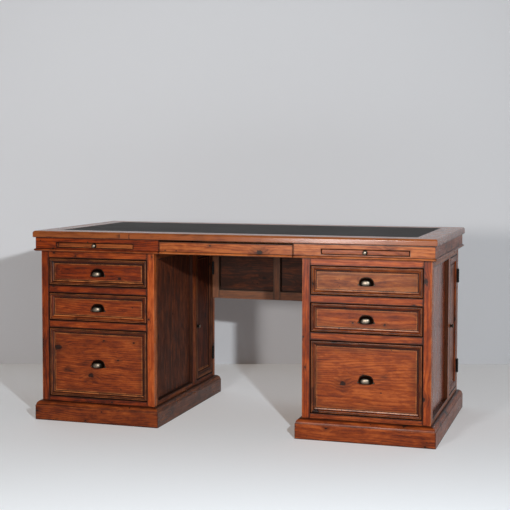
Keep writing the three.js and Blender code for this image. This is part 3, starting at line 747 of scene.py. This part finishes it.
# ---- The top ----
def top():
    for name, along, inward in AROUND:
        start, length = run(f"top_frame_{name}", along, inward)
        cuts = TOP_JOINTS if length > 1 else (0, 1)
        piece = Piece()
        for a, b in zip(cuts, cuts[1:]):
            moulding(
                piece, top_profile(), start + along * length * a, along, inward, length * (b - a),
                mitres=(a == 0, b == 1), look=TOP_LOOK,
            )
        piece.stand_for(f"top_frame_{name}", "top_pine")
    piece = Piece()
    staves(piece, *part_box("top_core"), ALONG_X, ALONG_Y, 5)
    piece.stand_for("top_core", "inner_pine")
    leather_inset()


def leather_lines(low, high):
    """Where the leather's mesh has lines along one axis: close at its edges, evenly between them."""
    steps = 24
    inner = [low + (high - low) * i / steps for i in range(1, steps)]
    offsets = [line * MM for line in LEATHER_LINES]
    edges = [low + o for o in offsets] + [high - o for o in reversed(offsets)]
    return sorted(edges + [v for v in inner if low + offsets[-1] < v < high - offsets[-1]])


def leather_inset():
    """A skin that lies flat and rolls down at its edge, with a blind-tooled line inside the edge."""
    low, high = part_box("leather_inset")
    xs, ys = leather_lines(low.x, high.x), leather_lines(low.y, high.y)
    points = []
    for y in ys:
        for x in xs:
            inset = min(x - low.x, high.x - x, y - low.y, high.y - y) / MM
            roll = max(0.0, 1 - inset / LEATHER_EDGE) ** 2
            groove = next((depth for line, depth in TOOLING.items() if abs(inset - line) < 0.001), 0)
            points.append((x, y, high.z - (roll + groove) * MM))
    columns, rows = len(xs), len(ys)
    faces = strip_faces(rows, columns)
    border = list(range(columns))
    border += [j * columns + columns - 1 for j in range(1, rows)]
    border += [(rows - 1) * columns + i for i in range(columns - 2, -1, -1)]
    border += [j * columns for j in range(rows - 2, 0, -1)]
    first = len(points)
    points += [(points[i][0], points[i][1], low.z) for i in border]
    for i in range(len(border)):
        after = (i + 1) % len(border)
        faces.append((border[i], border[after], first + after, first + i))
    faces.append(range(first, first + len(border)))
    piece = Piece()
    piece.add(points, faces, 0.0, local=points)
    piece.stand_for("leather_inset", "leather")


# ---- The apron and what slides in it ----
def slide_span(side):
    """Where the slot of a writing slide starts and ends along the desk."""
    low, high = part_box(f"writing_slide_{side}")
    return low.x - SLIDE_GAP * MM, high.x + SLIDE_GAP * MM


def apron():
    front = apron_profile(APRON_HEIGHT, slotted=True)
    front_edge = front.index((BEAD, SLOT_FROM, 0))
    back_edge = front.index((BEAD + APRON_THICKNESS, SLOT_TO))
    for side in SIDES:
        low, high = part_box(f"apron_front_{side}")
        slot = (*(x - low.x for x in slide_span(side)), front_edge, back_edge)
        piece = Piece()
        moulding(
            piece, front, low, RIGHT, BACK, high.x - low.x,
            mitres=(side == "left", side == "right"), slot=slot, look=APRON_LOOKS[side],
        )
        piece.stand_for(f"apron_front_{side}", "pine")
    for name, along, inward in AROUND[1:]:
        start, length = run(f"apron_{name}", along, inward)
        piece = Piece()
        moulding(piece, apron_profile(APRON_HEIGHT), start, along, inward, length)
        piece.stand_for(f"apron_{name}", "pine")


def writing_slides():
    for side in SIDES:
        low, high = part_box(f"writing_slide_{side}")
        joint = low.y + SLIDE_LIPPING * MM
        piece = Piece()
        board(piece, low, (high.x, joint, high.z), ALONG_X, SLIDE_LOOK)
        staves(piece, (low.x, joint, low.z), high, ALONG_Y, ALONG_X, 4, rounding=0.25)
        piece.stand_for(f"writing_slide_{side}", "pine")
        knob(f"slide_knob_{side}", -BACK)


def open_box(node, wall, base):
    """A drawer's box: the front and back boards stand between the sides, over a thin bottom."""
    low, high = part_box(node)
    wall, base, groove = wall * MM, base * MM, BOX_GROOVE * MM
    left, right = low.x + wall, high.x - wall
    piece = Piece()
    for a, b in ends(low.x, high.x, wall):
        board(piece, (a, low.y, low.z), (b, high.y, high.z), ALONG_Y)
    for a, b in ends(low.y, high.y, wall):
        board(piece, (left, a, low.z), (right, b, high.z), ALONG_X)
    bottom = (left, low.y + wall, low.z + groove), (right, high.y - wall, low.z + base)
    staves(piece, *bottom, ALONG_X, ALONG_Y, 3)
    piece.stand_for(node, "inner_pine")


def centre_drawer():
    low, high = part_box("centre_drawer_front")
    piece = Piece()
    profile = apron_profile((high.z - low.z) / MM)
    length = high.x - low.x
    moulding(piece, profile, low, RIGHT, BACK, length, mitres=(False, False), look=CENTRE_DRAWER_LOOK)
    piece.stand_for("centre_drawer_front", "pine")
    open_box("centre_drawer_box", CENTRE_BOX_WALL, CENTRE_BOX_BASE)


def frieze_guides():
    """The bearer of each writing slide, its cheeks and kickers, and the centre drawer's ledge."""
    base, cheek, kicker, deep, ledge = (v * MM for v in GUIDE)
    for side in SIDES:
        low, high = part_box(f"frieze_guide_{side}")
        inner, outer = slide_span(side)
        sign = -1 if side == "left" else 1
        ledge_end, far_end = (high.x, low.x) if sign < 0 else (low.x, high.x)
        stop = ledge_end + sign * deep
        spans = [
            (stop, far_end, low.z, low.z + base),
            (ledge_end, stop, low.z, low.z + ledge),
            (stop, stop + sign * cheek, low.z + base, high.z),
            (inner - cheek, inner, low.z + base, high.z),
            (outer, outer + cheek, low.z + base, high.z),
            (inner, inner + deep, high.z - kicker, high.z),
            (outer - deep, outer, high.z - kicker, high.z),
        ]
        piece = Piece()
        for x0, x1, z0, z1 in spans:
            board(piece, (min(x0, x1), low.y, z0), (max(x0, x1), high.y, z1), ALONG_Y, rounding=0.3)
        piece.stand_for(f"frieze_guide_{side}", "inner_pine")


# ---- Framed boards and panelled fronts ----
def panelled_front(node, flat, outward, look, finish="pine"):
    """A drawer or door front: four mitred lengths of moulding round a fielded panel."""
    low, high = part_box(node)
    if outward == RIGHT:
        side, depth, corner, panel_grain = BACK, -RIGHT, Vector((high.x, low.y, low.z)), ALONG_Z
    else:
        side, depth, corner, panel_grain = RIGHT, BACK, low, ALONG_X
    width, height = side.dot(high - low), high.z - low.z
    far, top_edge = side * width, UP * height
    piece = Piece()
    border = look._replace(tone=look.tone - BORDER_DARKER)
    lengths = (
        (corner, side, UP, width),
        (corner + far, UP, -side, height),
        (corner + far + top_edge, -side, -UP, width),
        (corner + top_edge, -UP, side, height),
    )
    # Each side of the border gets its own painted highlight or shade.
    for (start, along, inward, length), slope_light in zip(lengths, BORDER_SLOPE_LIGHT):
        profile = front_profile(flat, slope_light)
        moulding(piece, profile, start, along, inward, length, depth, look=border, rounding=0.2)
    inset = (side + UP) * (flat + BORDER_PAST_FLAT) * MM
    a = corner + inset + depth * (FIELD_DEPTH * MM)
    b = corner + far + top_edge - inset + depth * (FRONT_THICKNESS * MM)
    lower, upper = (Vector(map(pick, a, b)) for pick in (min, max))
    board(piece, lower, upper, panel_grain, look._replace(edge=FIELD_EDGE), rounding=0.9)
    piece.stand_for(node, "pine", finish)


def framed(piece, low, high, stiles, rails, facing, looks):
    """Stiles over the whole height and rails between them.

    stiles is a list of (from, to) across, rails a list of (from, to) in height. looks gives the look
    of each stile in turn, then that of the rails.
    """
    across = 1 - facing
    for (a, b), look in zip(stiles, looks):
        start, end = Vector(low), Vector(high)
        start[across], end[across] = a, b
        # Edges against other boards and openings take glaze with painted shade; outer edges are rubbed
        # pale.
        edges = (RUBBED if a == low[across] else GRIMY_AND_SHADED, RUBBED if b == high[across] else GRIMY_AND_SHADED)
        board(piece, start, end, ALONG_Z, look, edges=edges, through=facing)
    for (_, a), (b, _) in zip(stiles, stiles[1:]):
        for z0, z1 in rails:
            start, end = Vector(low), Vector(high)
            start[across], end[across], start.z, end.z = a, b, z0, z1
            edges = (GRIMY_AND_SHADED if z0 > low[2] else 0, GRIMY_AND_SHADED if z1 < high[2] else 0)
            board(piece, start, end, across, looks[-1], edges=edges, through=facing)


def panelled_board(node, facing, outward, stiles, rails, recess, grain, count, looks, finish="pine"):
    """A frame on its outward side, with panels of glued boards sunk behind it.

    looks is the frame's look, then that of the panels.
    """
    low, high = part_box(node)
    across = 1 - facing
    face, behind = (high[facing], low[facing]) if outward > 0 else (low[facing], high[facing])
    sunk = face - outward * recess * MM
    piece = Piece()
    framed(piece, low, high, stiles, rails, facing, [looks[0]] * (len(stiles) + 1))
    for (_, a), (b, _) in zip(stiles, stiles[1:]):
        start, end = Vector(low), Vector(high)
        start[across], end[across] = a, b
        start.z, end.z = rails[0][1], rails[-1][0]
        start[facing], end[facing] = min(sunk, behind), max(sunk, behind)
        over = ALONG_Z if grain != ALONG_Z else across
        staves(piece, start, end, grain, over, count, looks[1])
    piece.stand_for(node, "pine", finish)


def face_frame(side):
    """Returns the heights where the lowest rail ends and the highest one starts."""
    node = f"{side}_face_frame"
    low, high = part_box(node)
    levels = [low.z]
    for name in DRAWERS:
        drawer_low, drawer_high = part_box(f"{side}_{name}_drawer_front")
        levels += [drawer_low.z - DRAWER_GAP * MM, drawer_high.z + DRAWER_GAP * MM]
    levels.append(high.z)
    rails = list(zip(levels[::2], levels[1::2]))
    piece = Piece()
    framed(piece, low, high, ends(low.x, high.x, STILE * MM), rails, 1, FACE_FRAME_LOOKS[side])
    piece.stand_for(node, "pine")
    return levels[1], levels[-2]


def side_layout(node, panel_bottom, panel_top):
    """The stiles and rails of a pedestal's side, round a wide panel and the door's place."""
    low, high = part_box(node)
    panel_from, panel_to, door_from, door_to = (v * MM for v in (*SIDE_PANEL, *SIDE_DOOR))
    stiles = [(low.y, panel_from), (panel_to, door_from), (door_to, high.y)]
    return stiles, [(low.z, panel_bottom), (panel_top, high.z)]


def side_frame(side, levels):
    """The +X side: an open frame, and its wide panel of upright boards."""
    node = f"{side}_door_side_frame"
    piece = Piece()
    framed(piece, *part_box(node), *side_layout(node, *levels), 0, SIDE_FRAME_LOOKS[side])
    piece.stand_for(node, "pine", SIDE_FINISH[side])
    node = f"{side}_door_side_panel"
    piece = Piece()
    staves(piece, *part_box(node), ALONG_Z, ALONG_Y, 4, SIDE_PANEL_LOOKS[side])
    piece.stand_for(node, "pine", SIDE_PANEL_FINISH[side])


def plain_side(side, levels):
    node = f"{side}_plain_side"
    layout = side_layout(node, *levels)
    panelled_board(node, 0, -1, *layout, SIDE_RECESS, ALONG_Z, 3, (PLAIN, PLAIN_PANEL))


def two_panels(node, outward, stile, rails, recess, grain, looks, finish="pine"):
    """A framed board across the desk. rails are the heights of the bottom and the top one."""
    low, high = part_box(node)
    middle, half = (low.x + high.x) / 2, stile * MM / 2
    left, right = ends(low.x, high.x, stile * MM)
    stiles = [left, (middle - half, middle + half), right]
    rails = [(low.z, low.z + rails[0] * MM), (high.z - rails[1] * MM, high.z)]
    panelled_board(node, 1, outward, stiles, rails, recess, grain, 2, looks, finish)


def modesty_panel():
    looks = (DULL_PAINTED_SHADE, DULL_PANEL_PAINTED_SHADE)
    two_panels("modesty_panel", -1, STILE, MODESTY_RAILS, MODESTY_RECESS, ALONG_X, looks, "dull_pine")


# ---- The rest of a pedestal ----
def plinth(side):
    node = f"{side}_plinth"
    piece = Piece()
    for name, along, inward in AROUND:
        start, length = run(node, along, inward)
        in_the_kneehole = side == "left" and name == "right"
        look = PLINTH_IN_PAINTED_SHADE if in_the_kneehole else PLINTH_LOOKS[side]
        moulding(piece, plinth_profile(), start, along, inward, length, look=look, rounding=0.6)
    piece.stand_for(node, "pine")


def inner_case(side):
    """The floor, ceiling and partition, and each drawer's shelf and guide strips."""
    node = f"{side}_inner_case"
    low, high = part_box(node)
    floor, ceiling = low.z + CASE_FLOOR * MM, high.z - CASE_TOP * MM
    front, back = (v * MM for v in CASE_PARTITION)
    piece = Piece()
    staves(piece, low, (high.x, high.y, floor), ALONG_X, ALONG_Y, 5)
    staves(piece, (low.x, low.y, ceiling), high, ALONG_X, ALONG_Y, 5)
    board(piece, (low.x, front, floor), (high.x, back, ceiling), ALONG_X, rounding=0.3)
    levels = [floor]
    for name in DRAWERS[1:]:
        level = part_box(f"{side}_{name}_drawer_box")[0].z - STRIP_GAP * MM
        levels.append(level)
        under = (low.x, low.y, level - CASE_SHELF * MM)
        staves(piece, under, (high.x, front, level), ALONG_X, ALONG_Y, 3)
    for level in levels:
        for a, b in ends(low.x, high.x, STRIP_WIDTH * MM):
            board(piece, (a, low.y, level), (b, front, level + STRIP_HEIGHT * MM), ALONG_Y)
    piece.stand_for(node, "inner_pine")


# ---- Fittings ----
def strip_faces(rows, columns, closed=False):
    """The faces of a grid of points, whose last column may join its first."""
    faces = []
    for j in range(rows - 1):
        for i in range(columns if closed else columns - 1):
            a, b = j * columns + i, j * columns + (i + 1) % columns
            faces.append((a, b, b + columns, a + columns))
    return faces


def lathe(piece, profile, base, axis, side, sides, rub):
    """A turned part. Profile points are (radius, along) in metres; it starts and ends on the axis.

    rub is how rubbed it is: a number, or a function of how far along a point is.
    """
    other = axis.cross(side)
    points, rubs = [], []
    for place, (radius, along) in enumerate(profile):
        on_axis = place in (0, len(profile) - 1)
        for i in range(1 if on_axis else sides):
            angle = 2 * math.pi * i / sides
            outward = side * math.cos(angle) + other * math.sin(angle)
            points.append(base + axis * along + outward * radius)
            rubs.append(rub(along) if callable(rub) else rub)
    faces = [[i + 1 for i in face] for face in strip_faces(len(profile) - 2, sides, closed=True)]
    last = len(points) - 1
    for i in range(sides):
        after = (i + 1) % sides
        faces.append((0, 1 + i, 1 + after))
        faces.append((last, last - sides + after, last - sides + i))
    piece.add_metal(points, faces, rubs)


def knob(node, outward):
    """A small turned knob on a rose."""
    low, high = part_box(node)
    length = abs((high - low).dot(outward))
    widest = (high.z - low.z) / 2
    radius, half = (v * MM for v in KNOB_HEAD)
    rose = [(0, 0), (widest, 0), (widest, 0.5 * MM)]
    stem = [(r * MM, a * MM) for r, a in KNOB_ROSE + KNOB_NECK]
    head = arc((0, length - half), (radius, half), -62, 90, 14)
    head[-1] = (0, length)

    def rub(along):
        return 0.1 + 0.95 * max(0.0, (along - length + half) / half) ** 0.8

    piece = Piece()
    side = RIGHT if outward == -BACK else BACK
    base = (low + high) / 2 - outward * length / 2
    lathe(piece, rose + stem + head, base, outward, side, 40, rub)
    piece.stand_for(node, "brass")


def cup_pull(node):
    """A cup pull: a rounded plate with two screwed ears, a domed cup, and a rolled lip at its mouth."""
    low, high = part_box(node)
    middle_x, back_y, mouth_z = (low.x + high.x) / 2, high.y, low.z + PULL_BELOW * MM

    def at(x, out, z):
        return Vector((middle_x + x * MM, back_y - out * MM, mouth_z + z * MM))

    piece = Piece()
    pull_plate(piece, at)
    cup(piece, at)
    lip(piece, at)
    for sign in (-1, 1):
        screw = [(r * MM, a * MM) for r, a in SCREW]
        lathe(piece, screw, at(sign * 30.4, PULL_PLATE - 0.1, 1.5), -BACK, RIGHT, 20, 0.5)
    piece.stand_for(node, "brass")


def squared(value, power):
    """A cosine or a sine, pushed out towards the corners of a squarer curve."""
    return math.copysign(abs(value) ** (2 / power), value)


def pull_plate(piece, at):
    """A round-headed plate whose foot widens into two ears with cut corners."""
    foot = -PULL_BELOW
    ear = [(PULL_HALF - 1, foot), (PULL_HALF, foot + 1), (PULL_HALF, PULL_EARS - 1)]
    ear.append((PULL_HALF - 1, PULL_EARS))
    steps = 40
    head = []
    for i in range(steps + 1):
        angle = math.radians(4 + 172 * i / steps)
        x = PULL_PLATE_HALF * squared(math.cos(angle), CUP_SQUARENESS)
        head.append((x, PULL_PLATE_HEIGHT * squared(math.sin(angle), CUP_SQUARENESS)))
    outline = ear + head + [(-x, z) for x, z in reversed(ear)]
    count = len(outline)
    levels = ((0, 1.0), (PULL_PLATE - 0.5, 1.0), (PULL_PLATE - 0.12, 0.992), (PULL_PLATE, 0.975))
    points = [at(x * inset, out, z * inset) for out, inset in levels for x, z in outline]
    faces = strip_faces(len(levels), count, closed=True)
    faces += [range(count), range(len(points) - count, len(points))]
    piece.add_metal(points, faces, 0.05)


def cup_levels():
    """(height, width and depth as shares of the widest) of the cup, from its mouth up to its top."""
    levels = []
    below, above = 4, 15
    for i in range(below):
        tuck = CUP_TUCK * (1 - i / below) ** 2
        levels.append((CUP_WIDEST * i / below, 1 - tuck / 3, 1 - tuck))
    for i in range(above):
        angle = math.pi / 2 * i / above
        share = squared(math.cos(angle), CUP_SQUARENESS)
        rise = (CUP_HEIGHT - CUP_WIDEST) * squared(math.sin(angle), CUP_SQUARENESS)
        levels.append((CUP_WIDEST + rise, share, share))
    return levels


def cup_plan(half, out, share):
    """A point of the cup's outline seen from above, a share of the way round it."""
    turn = math.pi * share
    x = half * squared(math.cos(turn), CUP_PLAN_SQUARENESS)
    return x, out * squared(math.sin(turn), CUP_PLAN_SQUARENESS)


def cup(piece, at):
    """A shell whose mouth is open below and whose two sides stand on the plate."""
    around = 40
    columns = around + 1
    levels = cup_levels()
    base = PULL_PLATE / 2
    points, rubs = [], []
    for less in (0, CUP_WALL):
        for height, width, depth in levels:
            for i in range(columns):
                x, out = cup_plan((CUP_HALF - less) * width, (CUP_OUT - less) * depth, i / around)
                points.append(at(x, base + out, height * (1 - less / CUP_HEIGHT)))
                rubs.append(0.05 if less else 1.1 * (out / CUP_OUT) ** 5 - 0.1)
        points.append(at(0, base, CUP_HEIGHT - less))
        rubs.append(0.05)
    rows = len(levels)
    layer = rows * columns + 1
    faces = []
    for shell in (0, layer):
        faces += [[shell + i for i in face] for face in strip_faces(rows, columns)]
        tip, last = shell + layer - 1, shell + (rows - 1) * columns
        faces += [(last + i, last + i + 1, tip) for i in range(around)]
    faces += [(i, i + 1, layer + i + 1, layer + i) for i in range(around)]
    for i in (0, around):
        for j in range(rows - 1):
            a, b = j * columns + i, (j + 1) * columns + i
            faces.append((a, b, layer + b, layer + a))
        a = (rows - 1) * columns + i
        faces.append((a, layer - 1, 2 * layer - 1, layer + a))
    piece.add_metal(points, faces, rubs)


def lip(piece, at):
    """A rolled edge along the cup's mouth, from one side of the plate round to the other."""
    steps, sides = 40, 10
    half = (CUP_HALF - CUP_WALL / 2) * (1 - CUP_TUCK / 3)
    out = (CUP_OUT - CUP_WALL / 2) * (1 - CUP_TUCK)
    points = []
    for i in range(steps + 1):
        x, reach = cup_plan(half, out, i / steps)
        normal = Vector((x / half**2, reach / out**2)).normalized()
        for k in range(sides):
            angle = 2 * math.pi * k / sides
            swell, rise = CUP_LIP * math.cos(angle) * 0.8, CUP_LIP * math.sin(angle)
            points.append(at(x + normal.x * swell, PULL_PLATE / 2 + reach + normal.y * swell, rise))
    faces = strip_faces(steps + 1, sides, closed=True)
    faces += [range(sides), range(steps * sides, (steps + 1) * sides)]
    piece.add_metal(points, faces, 0.1)


def hinge(node):
    """A butt hinge: five knuckles on a pin with ball ends, and the leaf on the door's edge."""
    low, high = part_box(node)
    radius = (high.y - low.y) / 2
    foot = Vector((high.x - radius, (low.y + high.y) / 2, low.z))
    length = high.z - low.z
    ball, edge = HINGE_BALL * MM, HINGE_EASE * MM
    pitch = (length - 2 * ball) / HINGE_KNUCKLES
    tall = pitch - edge
    knuckle = [(0, 0), (radius - edge, 0), (radius, edge)]
    knuckle += [(r, tall - a) for r, a in reversed(knuckle)]
    piece = Piece()
    for i in range(HINGE_KNUCKLES):
        lathe(piece, knuckle, foot + UP * (ball + pitch * i + edge / 2), UP, RIGHT, 24, 0.35)
    pin = [
        (0, 0.2 * MM),
        *arc((0, ball), (ball, ball), -70, 50, 8),
        (HINGE_PIN * MM, ball * 2),
        (HINGE_PIN * MM, length - ball * 2),
        *arc((0, length - ball), (ball, -ball), 50, -70, 8),
        (0, length - 0.2 * MM),
    ]
    lathe(piece, pin, foot, UP, RIGHT, 20, 0.5)
    # The leaf lies against the door's edge, a little nearer the front than the pin.
    leaf_from = foot.y - 0.95 * MM
    leaf_low = (low.x, leaf_from, low.z + ball)
    leaf_high = (foot.x, leaf_from + HINGE_LEAF * MM, high.z - ball)
    piece.add_metal(box_corners(leaf_low, leaf_high), BOX_FACES, 0.2, rounding=0.15)
    piece.stand_for(node, "iron")


def pedestal(side):
    plinth(side)
    levels = face_frame(side)
    side_frame(side, levels)
    plain_side(side, levels)
    two_panels(f"{side}_back", 1, BACK_STILE, BACK_RAILS, BACK_RECESS, ALONG_Z, (PLAIN, PLAIN_PANEL))
    inner_case(side)
    for name in DRAWERS:
        stem = f"{side}_{name}_drawer"
        panelled_front(f"{stem}_front", DRAWER_FLAT, -BACK, DRAWER_LOOKS[side][name])
        open_box(f"{stem}_box", BOX_WALL, BOX_BASE)
        cup_pull(f"{stem}_pull")
    panelled_front(f"{side}_door", DOOR_FLAT, RIGHT, DOOR_LOOKS[side], SIDE_FINISH[side])
    knob(f"{side}_door_knob", RIGHT)
    for level in ("upper", "lower"):
        hinge(f"{side}_door_hinge_{level}")


# ---- Floor, wall and light ----
FORWARD = Vector((-math.sin(CAMERA_YAW), math.cos(CAMERA_YAW), 0))
WALL_DISTANCE, WALL_HEIGHT, REACH, FLOOR_DROP = 6.06, 6, 15.0, 0.3 * MM
GLOW_COLOUR, GLOW_STRENGTH = rgb(1.2, 1.05, 0.91), 0.14
WORLD_COLOUR, WORLD_STRENGTH = rgb(1.0, 0.9, 0.8), 0.055
# The place, aim, size, power and colour of each lamp.
LAMPS = {
    "key": ((1.924, -3.499, 1.577), (-0.3, 0, 0.3), 0.10, 122, (0.92, 0.97, 1.0)),
    "fill": ((-0.2, -4.4, 1.15), (-0.2, 0, 0.5), 0.5, 79, (1.0, 0.97, 0.94)),
    "sheen": ((-0.55, -4.4, 0.72), (0.5, -0.4, 0.68), 0.6, 34, (1.0, 0.93, 0.90)),
}


def paint(name, colour):
    """A material with no output yet, and its faintly clouded matt shader."""
    g = Graph(name)
    cloud = g.noise(g.add("ShaderNodeTexCoord").outputs["Object"], (0.6, 0.6, 0.6), 2.0)
    tint = g.mix(cloud, colour, rgb(*(c * 0.97 for c in colour[:3])))
    return g, g.out("ShaderNodeBsdfDiffuse", {"Color": tint})


def sheet(name, corners, graph, shader):
    """A flat piece of the stage, which isn't part of the desk."""
    graph.add("ShaderNodeOutputMaterial", {"Surface": shader})
    mesh = bpy.data.meshes.new(name)
    mesh.from_pydata(corners, [], [(0, 1, 2, 3)])
    mesh.materials.append(graph.material)
    link(name, mesh)


def stage():
    """A pale floor, and a wall that is open from behind so that it never hides the desk."""
    g, shader = paint("floor_paint", rgb(0.728, 0.775, 0.825))
    glow = g.out("ShaderNodeEmission", {"Color": GLOW_COLOUR, "Strength": GLOW_STRENGTH})
    lit = g.out("ShaderNodeAddShader", {0: shader, 1: glow})
    corners = [(x * REACH, y * REACH, -FLOOR_DROP) for x, y in ((-1, -1), (1, -1), (1, 1), (-1, 1))]
    sheet("floor", corners, g, lit)
    g, shader = paint("wall_paint", rgb(0.71, 0.71, 0.73))
    behind = g.add("ShaderNodeNewGeometry").outputs["Backfacing"]
    one_sided = {0: behind, 1: shader, 2: g.out("ShaderNodeBsdfTransparent")}
    middle = CAMERA_PLACE + FORWARD * WALL_DISTANCE
    middle.z = 0
    side, rise = FORWARD.cross(UP) * REACH, UP * WALL_HEIGHT
    left, right = middle - side, middle + side
    sheet("wall", [left, right, right + rise, left + rise], g, g.out("ShaderNodeMixShader", one_sided))


def lights():
    for name, (place, aim, size, power, colour) in LAMPS.items():
        data = bpy.data.lights.new(name, "AREA")
        data.shape = "DISK"
        data.size = size
        data.energy = power
        data.color = colour
        made = link(name, data)
        made.location = place
        made.rotation_euler = (Vector(aim) - made.location).to_track_quat("-Z", "Y").to_euler()
        # The sheen only glosses the polished fronts.
        made.visible_diffuse = name != "sheen"
    world = bpy.data.worlds.new("studio")
    world.use_nodes = True
    background = world.node_tree.nodes["Background"]
    background.inputs["Color"].default_value = WORLD_COLOUR
    background.inputs["Strength"].default_value = WORLD_STRENGTH
    bpy.context.scene.world = world
    view = bpy.context.scene.view_settings
    view.view_transform = "Standard"
    view.look = "None"


# ---- The desk ----
make_camera()
top()
apron()
writing_slides()
centre_drawer()
frieze_guides()
modesty_panel()
for pedestal_side in SIDES:
    pedestal(pedestal_side)
stage()
lights()

bpy.context.view_layer.update()
